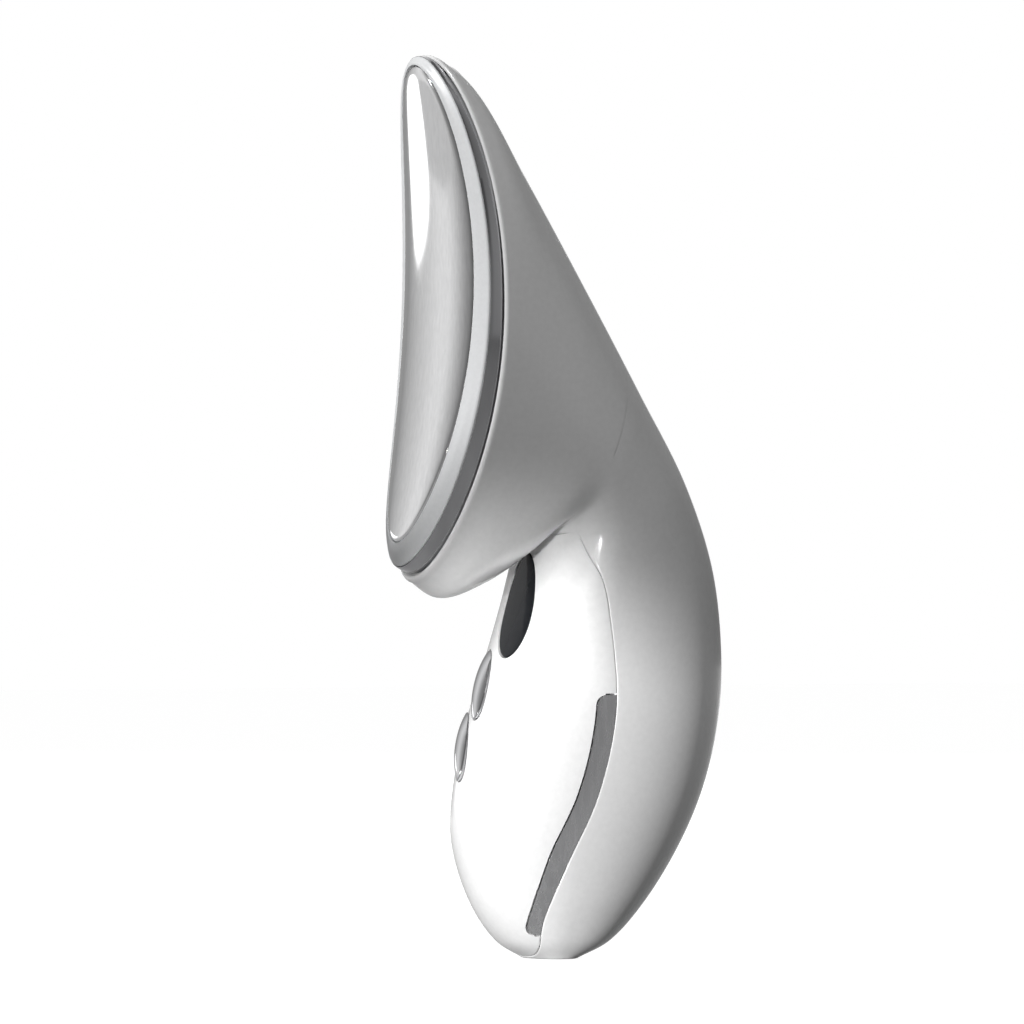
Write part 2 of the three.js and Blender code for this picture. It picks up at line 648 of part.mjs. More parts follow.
function frontCover() {
  let cover = layer(0, WALL).intersect(coverRegion(0));
  for (const side of [-1, 1]) {
    cover = cover.subtract(layer(-1, STRIP_THICKNESS + FIT).intersect(stripRegion(FIT, ...halfSpan(side))));
    cover = cover.subtract(contactArm(side, FIT, BEYOND));
  }
  const recess = layer(-1, WINDOW_SINK + WINDOW_THICKNESS + FIT);
  cover = cover.subtract(recess.intersect(ovalBar(WINDOW, FIT, -BEYOND, 0)));
  cover = cover.subtract(ovalBar(WINDOW, -WINDOW_LEDGE, -BEYOND, 0));
  for (const { x, z } of boardScrewPlaces) {
    const post = rod(POST_RADIUS, [x, -BEYOND, z], [x, BOARD_Y - FIT, z]).intersect(housing(WALL / 2));
    cover = cover.add(post).subtract(pilot(x, BOARD_Y - FIT - SCREW_LENGTH, BOARD_Y, z));
  }
  for (const button of [POWER_BUTTON, MODE_BUTTON]) {
    cover = cover.subtract(ovalBar(button, FIT, -BEYOND, BOARD_Y - FIT));
  }
  return cover;
}

const displayWindow = () => layer(WINDOW_SINK, WINDOW_SINK + WINDOW_THICKNESS)
  .intersect(ovalBar(WINDOW, 0, -BEYOND, 0)).intersect(coverRegion(-FIT));

// From near the middle to beyond one side, as two x values in rising order
const halfSpan = (side) => [side * 2, side * BEYOND].sort((a, b) => a - b);

const sideElectrode = (side) => layer(0, STRIP_THICKNESS).intersect(stripRegion(0, ...halfSpan(side)));

// Domed cap with a retaining flange behind the cover and a stem to its switch
function pushButton(button) {
  const { x, z, halfWidth, halfHeight, lean } = button;
  const y = faceY(x, z);
  const slope = [faceY(x + 1.5, z) - faceY(x - 1.5, z), faceY(x, z + 1.5) - faceY(x, z - 1.5)];
  const outward = new THREE.Vector3(slope[0], -3, slope[1]).normalize();
  const tilt = THREE.MathUtils.degToRad(lean);
  const up = new THREE.Vector3(-Math.sin(tilt), 0, Math.cos(tilt));
  const across = new THREE.Vector3().crossVectors(up, outward).normalize();
  const along = new THREE.Vector3().crossVectors(outward, across);
  const frame = new THREE.Matrix4().makeBasis(across, along, outward);
  const bulge = 5;
  const spread = 1 / Math.sqrt(1 - (1 - BUTTON_RISE / bulge) ** 2);
  const dome = new THREE.SphereGeometry(1, 24, 16);
  dome.scale(halfWidth * spread, halfHeight * spread, bulge);
  dome.translate(0, 0, BUTTON_RISE - bulge);
  const behind = new THREE.BoxGeometry(BEYOND, BEYOND, BEYOND);
  behind.translate(0, 0, BUTTON_RISE - bulge - BEYOND / 2);
  const limits = [dome, behind].map((shape) => toSolid(shape.applyMatrix4(frame).translate(x, y, z)));
  const capEnd = faceY(x, z + halfHeight) + WALL + 2 * FIT + BUTTON_FLANGE_THICKNESS;
  const cap = ovalBar(button, 0, -BEYOND, capEnd).intersect(limits[0].add(limits[1]));
  const flange = layer(WALL + FIT, WALL + FIT + BUTTON_FLANGE_THICKNESS)
    .intersect(ovalBar(button, FIT + BUTTON_FLANGE, -BEYOND, 0));
  const stem = rod(BUTTON_STEM_RADIUS, [x, capEnd - 1, z], [x, plungerTip - FIT, z], 16);
  return cap.add(flange).add(stem);
}

// Electronics in the handle

const switchFace = BOARD_Y - FIT - SWITCH_SIZE[1];
const plungerTip = switchFace - PLUNGER_LENGTH / 2;

function mainBoard() {
  const back = BOARD_Y + BOARD_THICKNESS;
  let board = box([-BOARD_HALF_WIDTH, BOARD_Y, BOARD_BOTTOM], [BOARD_HALF_WIDTH, back, BOARD_TOP]);
  for (const { x, z } of boardScrewPlaces) {
    board = board.subtract(pilot(x, BOARD_Y - 1, back + 1, z));
  }
  return board;
}

const boardScrew = ({ x, z }) => screw(x, BOARD_Y + BOARD_THICKNESS + FIT + SCREW_HEAD_HEIGHT, z, -1);

function tactSwitch({ x, z }) {
  const [width, depth, height] = SWITCH_SIZE;
  const body = box(
    [x - width / 2, switchFace, z - height / 2],
    [x + width / 2, switchFace + depth, z + height / 2]);
  const bore = PLUNGER_LENGTH / 2 + BUTTON_TRAVEL + FIT;
  return body.subtract(rod(PLUNGER_RADIUS + FIT, [x, switchFace - 1, z], [x, switchFace + bore, z], 20));
}

const switchPlunger = ({ x, z }) => rod(
  PLUNGER_RADIUS, [x, plungerTip, z], [x, plungerTip + PLUNGER_LENGTH, z], 20);

// Display block behind the window, above the power button's switch
function displayModule() {
  const { x, z, halfWidth } = WINDOW;
  const half = halfWidth - WINDOW_LEDGE - FIT;
  const face = faceY(x, z) + WALL + DISPLAY_BEHIND;
  return box(
    [x - half, face, z - DISPLAY_HALF_HEIGHT],
    [x + half, BOARD_Y - FIT, z + DISPLAY_HALF_HEIGHT - 1]);
}

function battery() {
  const top = BATTERY_BOTTOM + BATTERY_LENGTH;
  const cell = rod(BATTERY_RADIUS, [0, BATTERY_Y, BATTERY_BOTTOM], [0, BATTERY_Y, top], 36);
  return cell.add(rod(BATTERY_CAP_RADIUS, [0, BATTERY_Y, BATTERY_BOTTOM], [0, BATTERY_Y, top + 1], 20));
}

// Half-round trough on feet that stand on the back of the main board
function batteryCradle() {
  const [low, high] = [BATTERY_BOTTOM + 5, BATTERY_BOTTOM + BATTERY_LENGTH - 7];
  const inner = BATTERY_RADIUS + FIT;
  const outer = inner + CRADLE_WALL;
  const boardBack = BOARD_Y + BOARD_THICKNESS + FIT;
  let cradle = rod(outer, [0, BATTERY_Y, low], [0, BATTERY_Y, high], 36);
  for (const z of [low, high - 4]) {
    cradle = cradle.add(box([-5, boardBack, z], [5, BATTERY_Y, z + 4]));
  }
  return cradle
    .subtract(rod(inner, [0, BATTERY_Y, low - 1], [0, BATTERY_Y, high + 1], 36))
    .subtract(box([-BEYOND, BATTERY_Y + 2, low - 1], [BEYOND, BEYOND, high + 1]));
}

// L-shaped spring contact: a foot on the board's front face, an arm out to the side electrode
function contactArm(side, grow, reach) {
  const y = CONTACT_Y;
  const inner = Math.min(side * (BOARD_HALF_WIDTH - 4), side * reach);
  const outer = Math.max(side * (BOARD_HALF_WIDTH - 4), side * reach);
  return box([inner, y - grow, CONTACT_Z - 1.5 - grow], [outer, y + 0.8 + grow, CONTACT_Z + 1.5 + grow]);
}

const electrodeBack = () => {
  const probe = box([0, CONTACT_Y, CONTACT_Z - 1.5], [BEYOND, CONTACT_Y + 0.8, CONTACT_Z + 1.5]);
  return probe.subtract(housing(STRIP_THICKNESS)).boundingBox().min[0];
};

function electrodeContact(side) {
  const edge = side * (BOARD_HALF_WIDTH - 4);
  const foot = box(
    [Math.min(edge, edge + side * 2), CONTACT_Y, CONTACT_Z - 1.5],
    [Math.max(edge, edge + side * 2), BOARD_Y - FIT, CONTACT_Z + 1.5]);
  return contactArm(side, 0, electrodeBack() - FIT).add(foot);
}

// Charging socket: flat oval tube standing in the foot, with a tongue in its mouth
function socketBar(grow, fromZ, toZ) {
  const radius = SOCKET_HALF_DEPTH + grow;
  const run = SOCKET_HALF_WIDTH - SOCKET_HALF_DEPTH;
  const shape = new THREE.Shape();
  shape.absarc(run, 0, radius, -Math.PI / 2, Math.PI / 2);
  shape.absarc(-run, 0, radius, Math.PI / 2, Math.PI * 1.5);
  const settings = { depth: toZ - fromZ, bevelEnabled: false, curveSegments: 10 };
  const bar = new THREE.ExtrudeGeometry(shape, settings);
  bar.translate(0, 0, fromZ);
  return toSolid(bar);
}

function chargingSocket() {
  const tube = socketBar(0, SOCKET_SINK, SOCKET_SINK + SOCKET_LENGTH);
  const mouth = socketBar(-SOCKET_WALL, SOCKET_SINK - 1, SOCKET_SINK + SOCKET_LENGTH - 1);
  const foot = box(
    [-3, SOCKET_HALF_DEPTH - 0.4, SOCKET_SINK + 4.5],
    [3, SOCKET_BOARD_Y - FIT, SOCKET_SINK + SOCKET_LENGTH]);
  return tube.subtract(mouth).add(foot);
}

const socketTongue = () => box(
  [-3.3, -0.35, SOCKET_SINK + 1],
  [3.3, 0.35, SOCKET_SINK + SOCKET_LENGTH - 1 - FIT]);

function socketBoard() {
  let board = box(
    [-SOCKET_BOARD_HALF_WIDTH, SOCKET_BOARD_Y, WALL + 2],
    [SOCKET_BOARD_HALF_WIDTH, SOCKET_BOARD_Y + SOCKET_BOARD_THICKNESS, SOCKET_BOARD_TOP]);
  board = board.intersect(housing(WALL + 2 * FIT));
  for (const x of [-SOCKET_POST_X, SOCKET_POST_X]) {
    board = board.subtract(pilot(x, SOCKET_BOARD_Y - 1, SOCKET_BOARD_Y + 5, SOCKET_POST_Z));
  }
  return board;
}

const socketScrew = (side) => screw(
  side * SOCKET_POST_X, SOCKET_BOARD_Y - FIT - SCREW_HEAD_HEIGHT, SOCKET_POST_Z, 1);

// Motor in the head

const motorTop = MOTOR_BOTTOM + MOTOR_LENGTH;

const vibrationMotor = () => rod(MOTOR_RADIUS, [0, MOTOR_Y, MOTOR_BOTTOM], [0, MOTOR_Y, motorTop], 28)
  .subtract(rod(SHAFT_RADIUS + FIT, [0, MOTOR_Y, motorTop - SHAFT_SEAT], [0, MOTOR_Y, motorTop + 1], 16));

const weightBottom = motorTop + 2 * FIT;
const weightTop = weightBottom + WEIGHT_LENGTH;

const motorShaft = () => rod(
  SHAFT_RADIUS, [0, MOTOR_Y, motorTop - SHAFT_SEAT + FIT], [0, MOTOR_Y, weightTop + SHAFT_TIP], 16);

// Half-moon weight pressed on the shaft
const motorWeight = () => rod(WEIGHT_RADIUS, [0, MOTOR_Y, weightBottom], [0, MOTOR_Y, weightTop], 28)
  .subtract(box([-BEYOND, MOTOR_Y + 2 * SHAFT_RADIUS, weightBottom - 1], [BEYOND, BEYOND, weightTop + 1]))
  .subtract(rod(SHAFT_RADIUS + FIT / 2, [0, MOTOR_Y, weightBottom - 1], [0, MOTOR_Y, weightTop + 1], 16));

// Clip that holds the motor off the back of the plate carrier
function motorCradle() {
  const inner = MOTOR_RADIUS + FIT;
  const outer = inner + CRADLE_WALL;
  const [low, high] = [MOTOR_BOTTOM + 2, motorTop - 2];
  const seat = Math.max(...[low, (low + high) / 2, high].map((z) => carrierBack(0, z))) + FIT;
  return rod(outer, [0, MOTOR_Y, low], [0, MOTOR_Y, high], 28)
    .add(box([-outer, seat, low], [outer, MOTOR_Y, high]))
    .subtract(rod(inner, [0, MOTOR_Y, low - 1], [0, MOTOR_Y, high + 1], 28))
    .subtract(box([-BEYOND, MOTOR_Y + 2, low - 1], [BEYOND, BEYOND, high + 1]));
}

// Assembly

const materials = {
  whiteShell: { color: 0xf2f2f2, roughness: 0.22, metalness: 0 },
  chrome: { color: 0xb4b6b8, roughness: 0.1, metalness: 1 },
  satinChrome: { color: 0xb9babb, roughness: 0.28, metalness: 1 },
  lightGuide: { color: 0xcfd1d3, roughness: 0.35, metalness: 0 },
  darkLens: { color: 0x2e3034, roughness: 0.08, metalness: 0 },
  innerPlastic: { color: 0xd8d8d4, roughness: 0.55, metalness: 0 },
  darkPlastic: { color: 0x26272a, roughness: 0.5, metalness: 0 },
  boardGreen: { color: 0x1f5a3c, roughness: 0.5, metalness: 0 },
  steel: { color: 0x9b9da0, roughness: 0.3, metalness: 1 },
  brass: { color: 0xb5914c, roughness: 0.3, metalness: 1 },
  padOrange: { color: 0xb5662e, roughness: 0.6, metalness: 0 },
  cellWrap: { color: 0x2f62a8, roughness: 0.4, metalness: 0 },
};

const device = new THREE.Group();
device.position.y = -FOOTPRINT_MIDDLE;

function place(name, solid, material) {
  const mesh = new THREE.Mesh(toGeometry(solid), new THREE.MeshStandardMaterial(materials[material]));
  mesh.name = name;
  device.add(mesh);
}

place('rear_shell', rearShell(), 'whiteShell');
place('front_cover', frontCover(), 'whiteShell');
place('head_bezel', headBezel(), 'chrome');
place('light_ring', lightRing(), 'lightGuide');
place('treatment_plate', treatmentPlate(), 'satinChrome');
place('heater_pad', heaterPad(), 'padOrange');
place('led_board', ledBoard(), 'boardGreen');
place('plate_carrier', finishedCarrier(), 'innerPlastic');
carrierScrewPlaces.forEach((spot, i) => place(`carrier_screw_${i + 1}`, carrierScrew(spot), 'steel'));
place('vibration_motor', vibrationMotor(), 'steel');
place('motor_shaft', motorShaft(), 'steel');
place('motor_weight', motorWeight(), 'brass');
place('motor_cradle', motorCradle(), 'darkPlastic');
place('display_window', displayWindow(), 'darkLens');
place('display_module', displayModule(), 'darkPlastic');
place('power_button', pushButton(POWER_BUTTON), 'chrome');
place('mode_button', pushButton(MODE_BUTTON), 'chrome');
place('power_switch', tactSwitch(POWER_BUTTON), 'darkPlastic');
place('mode_switch', tactSwitch(MODE_BUTTON), 'darkPlastic');
place('power_plunger', switchPlunger(POWER_BUTTON), 'innerPlastic');
place('mode_plunger', switchPlunger(MODE_BUTTON), 'innerPlastic');
place('side_electrode_right', sideElectrode(1), 'chrome');
place('side_electrode_left', sideElectrode(-1), 'chrome');
place('electrode_contact_right', electrodeContact(1), 'brass');
place('electrode_contact_left', electrodeContact(-1), 'brass');
place('main_board', mainBoard(), 'boardGreen');
boardScrewPlaces.forEach((spot, i) => place(`board_screw_${i + 1}`, boardScrew(spot), 'steel'));
place('battery', battery(), 'cellWrap');
place('battery_cradle', batteryCradle(), 'darkPlastic');
place('charging_socket', chargingSocket(), 'steel');
place('socket_tongue', socketTongue(), 'darkPlastic');
place('socket_board', socketBoard(), 'boardGreen');
place('socket_screw_right', socketScrew(1), 'steel');
place('socket_screw_left', socketScrew(-1), 'steel');

export default device;
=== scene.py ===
import json
import math

import bmesh
import bpy
import numpy as np
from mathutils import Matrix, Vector
from mathutils.bvhtree import BVHTree


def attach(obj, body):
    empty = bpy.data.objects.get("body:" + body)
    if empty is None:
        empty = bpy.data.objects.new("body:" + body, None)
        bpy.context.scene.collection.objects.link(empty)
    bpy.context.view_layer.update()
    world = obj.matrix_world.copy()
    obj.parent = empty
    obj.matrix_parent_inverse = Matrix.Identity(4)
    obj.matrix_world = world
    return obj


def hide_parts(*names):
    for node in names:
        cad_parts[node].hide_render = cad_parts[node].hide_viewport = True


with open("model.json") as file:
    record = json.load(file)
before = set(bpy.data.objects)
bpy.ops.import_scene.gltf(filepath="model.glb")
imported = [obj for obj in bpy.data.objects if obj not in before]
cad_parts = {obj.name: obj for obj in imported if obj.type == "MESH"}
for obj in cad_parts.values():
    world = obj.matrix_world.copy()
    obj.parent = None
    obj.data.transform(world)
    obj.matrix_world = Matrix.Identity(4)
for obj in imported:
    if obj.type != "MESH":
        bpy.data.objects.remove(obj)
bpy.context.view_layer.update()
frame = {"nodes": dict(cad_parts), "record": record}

# Sizes in millimetres, measured from the middle of the charging socket: +Z runs up the device,
# -Y is the treated side and X is the width. Meshes are moved by FOOTPRINT_MIDDLE to the row frame.
MM = 0.001
FOOTPRINT_MIDDLE = 1.37
SEAM_GAP = 0.06
SKIN_INSET = 0.09
SIDE_INSET = 0.01
EDGE_ROUND = 0.25
WALL = 2.2
SOCKET_HALF_WIDTH = 4.5
SOCKET_HALF_DEPTH = 1.63
SOCKET_GAP = 0.3
FOOT_ROUND = 0.6
FOOT_THICKNESS = 3

# Housing sections, from the rim of the head to the foot:
# front [y, z], back [y, z], half width, share of the depth at the widest place, hollow, and powers
CHIN = 70.2
HEAD_TOP = 168.3
GRIP = 17
HEAD = 21.2
SECTIONS = [
    ((-28, CHIN), (-25.4, HEAD_TOP), HEAD, 0.5, 8.7, 2.05, 2.25),
    ((-22.5, CHIN - 3.1), (-20.1, HEAD_TOP - 3.9), HEAD, 0.5, 7, 2.1, 2.3),
    ((-15.5, CHIN - 0.9), (-11.6, HEAD_TOP - 16.9), HEAD, 0.48, 5, 2.2, 2.2),
    ((-9.4, CHIN + 3.2), (0.5, HEAD_TOP - 36.3), HEAD, 0.44, 3, 2.2, 2.1),
    ((-4.2, CHIN + 8.4), (14.8, 108), HEAD - 0.6, 0.38, 1, 2, 2.1),
    ((-4, CHIN + 6.2), (25.7, 89.5), GRIP + 2.6, 0.34, 0, 2, 2.1),
    ((-6.6, CHIN - 2.2), (32.2, 73), GRIP + 1.3, 0.32, 0, 2.1, 2.1),
    ((-10.6, 57.5), (34.4, 58), GRIP + 0.3, 0.35, 0, 2.1, 2.1),
    ((-15.1, 46), (34, 46), GRIP, 0.41, 0, 2, 2.1),
    ((-18.3, 33), (31.2, 33), GRIP - 0.6, 0.41, 0, 2, 2.1),
    ((-18.8, 22), (26.4, 22), GRIP - 2, 0.42, 0, 2.1, 2.1),
    ((-15.2, 10.5), (18.8, 10.5), GRIP - 4.6, 0.44, 0, 2.1, 2.1),
    ((-9.8, 3.2), (11.4, 3.2), 9.6, 0.46, 0, 2.2, 2.2),
    ((-4.4, 0), (4.4, 0), 7, 0.5, 0, 2.2, 2.2),
]
SEAM = [
    (-4.6, -1), (-6, 6.5), (-2.9, 17.5), (2.2, 29.6), (5.3, 42), (5.9, 51), (4, 65), (2.6, 70.6),
    (0.6, 74.6), (-0.4, 77.6), (-1, 79.6),
]
THROAT = [(-4.6, 78.3), (-8.4, 70.6), (-15, 57)]

# Outlines of the head's fittings: bottom [y, z], top [y, z], half width, sag and upper power
PLATE = ((-31.9, CHIN + 7.4), (-28.2, HEAD_TOP - 2.4), HEAD - 6, 6.95, 2.1)
RING = ((-30.9, CHIN + 2.9), (-27.2, HEAD_TOP - 0.7), HEAD - 1.8, 7.7, 2.1)
RIM = (SECTIONS[0][0], SECTIONS[0][1], SECTIONS[0][2], SECTIONS[0][4], SECTIONS[0][6])
BOTTOM_POWER = SECTIONS[0][5]
PLATE_CROWN = 2
PLATE_ROLL = 0.7  # how much farther the plate's border rolls back
PLATE_SINK = 0.35
PLATE_DEPTH = 2.2
PLATE_LIP = 1.2  # width of the plate's turned-in edge
TRIM_GAP = 0.12
LIP_RISE = 0.62  # height of the bead on the shell's rim
LIP_WIDTH = 0.85
LIP_FOOT = 1.4
RIM_SEAT = 0.05  # the bezel's seat, behind the rim's level
RIM_DEPTH = 3
BEZEL_INSET = 1.5  # from the rim's outline to the bezel's outer edge
BEZEL_RISE = 0.75
BEZEL_BULGE = 0.25
BEZEL_THICKNESS = 1.4
SPIGOT_INSET = 2.6
SPIGOT_DEPTH = 2.6
SPIGOT_INSIDE = 4.0
RING_STEP = 0.15
RING_BULGE = 0.22
RING_THICKNESS = 1.1

# Ovals in the front cover: x, z, half width, half height and lean in degrees
WINDOW = (1.2, 65.9, 5.3, 10.1, 19)
POWER_BUTTON = (-1.9, 51, 2.8, 6.9, 25)
MODE_BUTTON = (-3, 39.5, 2.8, 6.9, 25)
OVAL_GAP = 0.25
WINDOW_SINK = 0.1
WINDOW_THICKNESS = 1.2
BUTTON_RISE = 1.2
BUTTON_BULGE = 5.0  # radius of the button's domed face
BUTTON_DEPTH = 3.4
STRIP_FROM = 0.07  # shares of the seam line at the strip's ends
STRIP_TO = 0.625
STRIP_TAPER = 0.2  # share of the seam line over which the strip widens
STRIP_WIDTH_TOP = 3.8
STRIP_WIDTH_FOOT = 2.4
STRIP_CORNER = 1.9
STRIP_THICKNESS = 1.0
STRIP_GAP = 0.3


# Curves and the housing's surface

def spline(points, shares, even=False):
    """Catmull-Rom curve through the points; even keeps every span the same length."""
    points = np.array(points, float)
    padded = np.vstack([2 * points[0] - points[1], points, 2 * points[-1] - points[-2]])
    place = np.clip(np.asarray(shares, float), 0, 1) * (len(points) - 1)
    span = np.minimum(place.astype(int), len(points) - 2)
    weight = (place - span)[..., None]
    p0, p1, p2, p3 = (padded[span + k] for k in range(4))
    if even:
        start, end = (p2 - p0) / 2, (p3 - p1) / 2
    else:
        spans = ((p0, p1), (p1, p2), (p2, p3))
        d0, d1, d2 = (((b - a) ** 2).sum(-1, keepdims=True) ** 0.25 for a, b in spans)
        start = ((p1 - p0) / d0 - (p2 - p0) / (d0 + d1) + (p2 - p1) / d1) * d1
        end = ((p2 - p1) / d1 - (p3 - p1) / (d1 + d2) + (p3 - p2) / d2) * d1
    squared = weight * weight
    cubed = squared * weight
    return (p1 + start * weight + (-3 * p1 + 3 * p2 - 2 * start - end) * squared
            + (2 * p1 - 2 * p2 + start + end) * cubed)


def signed_power(value, power):
    return np.sign(value) * np.abs(value) ** power


FRONTS = [s[0] for s in SECTIONS]
BACKS = [s[1] for s in SECTIONS]
GIRTHS = [(s[2], s[3], s[4]) for s in SECTIONS]
POWERS = [(s[5], s[6]) for s in SECTIONS]


def skin(share, turn):
    """Points of the housing. turn is 0 at the front and pi at the back, and grows towards +X."""
    share, turn = np.broadcast_arrays(np.asarray(share, float), np.asarray(turn, float))
    front = spline(FRONTS, share)
    along = spline(BACKS, share) - front
    length = np.linalg.norm(along, axis=-1)
    along = along / length[..., None]
    half, widest, hollow = np.moveaxis(spline(GIRTHS, share, even=True), -1, 0)
    front_power, back_power = np.moveaxis(spline(POWERS, share, even=True), -1, 0)
    towards_back = -np.cos(turn) >= 0
    power = np.where(towards_back, back_power, front_power)
    reach = signed_power(-np.cos(turn), 2 / power)
    depth = widest * length + reach * (np.where(towards_back, 1 - widest, widest) * length - SKIN_INSET)
    droop = hollow * (1 - reach * reach)
    y = front[..., 0] + along[..., 0] * depth + along[..., 1] * droop
    z = front[..., 1] + along[..., 1] * depth - along[..., 0] * droop
    x = (half - SIDE_INSET) * signed_power(np.sin(turn), 2 / power)
    return np.stack([x, y, z], -1)


def skin_normal(share, turn):
    """Directions straight out of the housing."""
    step = 1e-3
    share = np.clip(share, step, 1 - step)
    down = skin(share + step, turn) - skin(share - step, turn)
    round_ = skin(share, turn + step) - skin(share, turn - step)
    normal = np.cross(round_, down)
    normal /= np.maximum(np.linalg.norm(normal, axis=-1, keepdims=True), 1e-12)
    outward = skin(share, turn) - skin(share, turn + np.pi)
    flip = np.sign((normal * outward).sum(-1, keepdims=True))
    return normal * np.where(flip == 0, 1, flip)


# Meshes

SHARP_ANGLE = math.radians(35)
CAD_SHARP_ANGLE = math.radians(30)
BEVEL_ANGLE = math.radians(50)


def to_row(points):
    """Millimetres from the socket's middle to metres in the row frame."""
    return (np.asarray(points, float) + [0, -FOOTPRINT_MIDDLE, 0]) * MM


def new_object(name, mesh, body, replaces, material):
    """Smooth-shaded piece on a body, in place of CAD nodes."""
    obj = bpy.data.objects.new(name, mesh)
    bpy.context.scene.collection.objects.link(obj)
    mesh.polygons.foreach_set("use_smooth", [True] * len(mesh.polygons))
    mesh.set_sharp_from_angle(angle=SHARP_ANGLE)
    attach(obj, body)
    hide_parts(*replaces)
    mesh.materials.clear()
    mesh.materials.append(material)
    return obj


def grid_faces(rows, columns, start=0, closed=False):
    """Quads of a grid of points numbered from start."""
    faces = []
    for i in range(rows - 1):
        for j in range(columns if closed else columns - 1):
            k = (j + 1) % columns
            faces.append((start + i * columns + j, start + i * columns + k,
                          start + (i + 1) * columns + k, start + (i + 1) * columns + j))
    return faces


def mesh_of(name, grids):
    """One mesh from grids of points (rows, columns, 3), each open or closed round its columns."""
    points, faces = [], []
    for grid, closed in grids:
        start = sum(len(p) for p in points)
        rows, columns = grid.shape[:2]
        points.append(to_row(grid.reshape(-1, 3)))
        faces += grid_faces(rows, columns, start, closed)
    mesh = bpy.data.meshes.new(name)
    mesh.from_pydata(np.vstack(points).tolist(), [], faces)
    bm = bmesh.new()
    bm.from_mesh(mesh)
    bmesh.ops.remove_doubles(bm, verts=bm.verts, dist=2e-6)
    bmesh.ops.dissolve_degenerate(bm, edges=bm.edges, dist=1e-7)
    bmesh.ops.recalc_face_normals(bm, faces=bm.faces)
    bm.to_mesh(mesh)
    bm.free()
    return mesh


def round_corner(start, corner, end, steps=5):
    """Rows that turn from start past the corner to end."""
    rows = []
    for t in np.linspace(0, 1, steps + 1):
        rows.append((1 - t) ** 2 * start + 2 * t * (1 - t) * corner + t ** 2 * end)
    return rows


def box_grids(front, back):
    """Two sheets of points and the four walls between their borders."""
    grids = [(front, False), (back, False)]
    for border in (np.s_[0], np.s_[-1], np.s_[:, 0], np.s_[:, -1]):
        grids.append((np.stack([front[border], back[border]]), False))
    return grids


def closed_sheet(name, sheet, depth, bevel, segments, closed=False):
    """Solid of even thickness behind a sheet of points. A closed sheet's first row is its middle."""
    if closed:
        across = np.roll(sheet, -1, 1) - np.roll(sheet, 1, 1)
    else:
        across = np.gradient(sheet, axis=1)
    down = np.gradient(sheet, axis=0)
    normal = np.cross(across, down)
    size = np.linalg.norm(normal, axis=-1, keepdims=True)
    normal = normal / np.maximum(size, 1e-9)
    if closed:
        normal[0] = normal[1].mean(0) / np.linalg.norm(normal[1].mean(0))
    middle = sheet.reshape(-1, 3).mean(0)
    if (normal * (sheet - [0, middle[1] + 20, middle[2]])).sum() < 0:
        normal = -normal
    back = sheet - normal * depth
    if closed:
        loop = np.concatenate([sheet, back[::-1]])
        mesh = mesh_of(name, [(loop, True)])
    else:
        mesh = mesh_of(name, box_grids(sheet, back))
    bevel_edges(mesh, bevel, segments)
    return mesh


def bevel_edges(mesh, width, segments):
    """Rounds the sharp edges of a closed mesh to a width in millimetres."""
    bm = bmesh.new()
    bm.from_mesh(mesh)
    sharp = [e for e in bm.edges if len(e.link_faces) == 2 and e.calc_face_angle(0) > BEVEL_ANGLE]
    bmesh.ops.bevel(bm, geom=sharp, offset=width * MM, segments=segments, profile=0.5,
                    affect="EDGES", clamp_overlap=True)
    bmesh.ops.recalc_face_normals(bm, faces=bm.faces)
    bm.to_mesh(mesh)
    bm.free()


def cut(obj, cutters):
    """Takes closed meshes out of a piece."""
    for number, mesh in enumerate(cutters):
        tool = bpy.data.objects.new(f"cutter_{number}", mesh)
        bpy.context.scene.collection.objects.link(tool)
        modifier = obj.modifiers.new("cut", "BOOLEAN")
        modifier.operation = "DIFFERENCE"
        modifier.solver = "EXACT"
        modifier.object = tool
        bpy.context.view_layer.update()
        evaluated = obj.evaluated_get(bpy.context.evaluated_depsgraph_get())
        result = bpy.data.meshes.new_from_object(evaluated)
        obj.modifiers.remove(modifier)
        obj.data = result
        bpy.data.objects.remove(tool)


# The seam between the rear shell and the front cover

SEAM_TABLE = spline(SEAM, np.linspace(0, 1, 1601))
SEAM_LENGTHS = np.concatenate([[0], np.cumsum(np.linalg.norm(np.diff(SEAM_TABLE, axis=0), axis=1))])


def seam_point(share):
    """Point [y, z] of the seam at a share of its length."""
    wanted = np.asarray(share) * SEAM_LENGTHS[-1]
    return np.stack([np.interp(wanted, SEAM_LENGTHS, SEAM_TABLE[:, k]) for k in (0, 1)], -1)


def seam_tangent(share):
    """Unit direction [y, z] along the seam."""
    run = seam_point(np.minimum(share + 0.002, 1)) - seam_point(np.maximum(share - 0.002, 0))
    return run / np.linalg.norm(run, axis=-1, keepdims=True)


def cover_region(grow):
    """Side-view outline of the front cover's region, grown past the seam by a distance."""
    edge = np.vstack([seam_point(np.linspace(0, 1, 121)), THROAT])
    run = np.gradient(edge, axis=0)
    run /= np.linalg.norm(run, axis=1, keepdims=True)
    edge = edge + grow * np.stack([run[:, 1], -run[:, 0]], -1)
    return np.vstack([edge, [(-60, 50), (-60, -20), (-5, -20)]])


def inside(points, polygon):
    """Whether side-view points lie in a polygon, by counting the edges in front of each."""
    y, z = points[..., 0], points[..., 1]
    result = np.zeros(y.shape, bool)
    for (y0, z0), (y1, z1) in zip(polygon, np.roll(polygon, -1, 0)):
        if z0 != z1:
            result ^= ((z0 > z) != (z1 > z)) & (y < (y1 - y0) * (z - z0) / (z1 - z0) + y0)
    return result


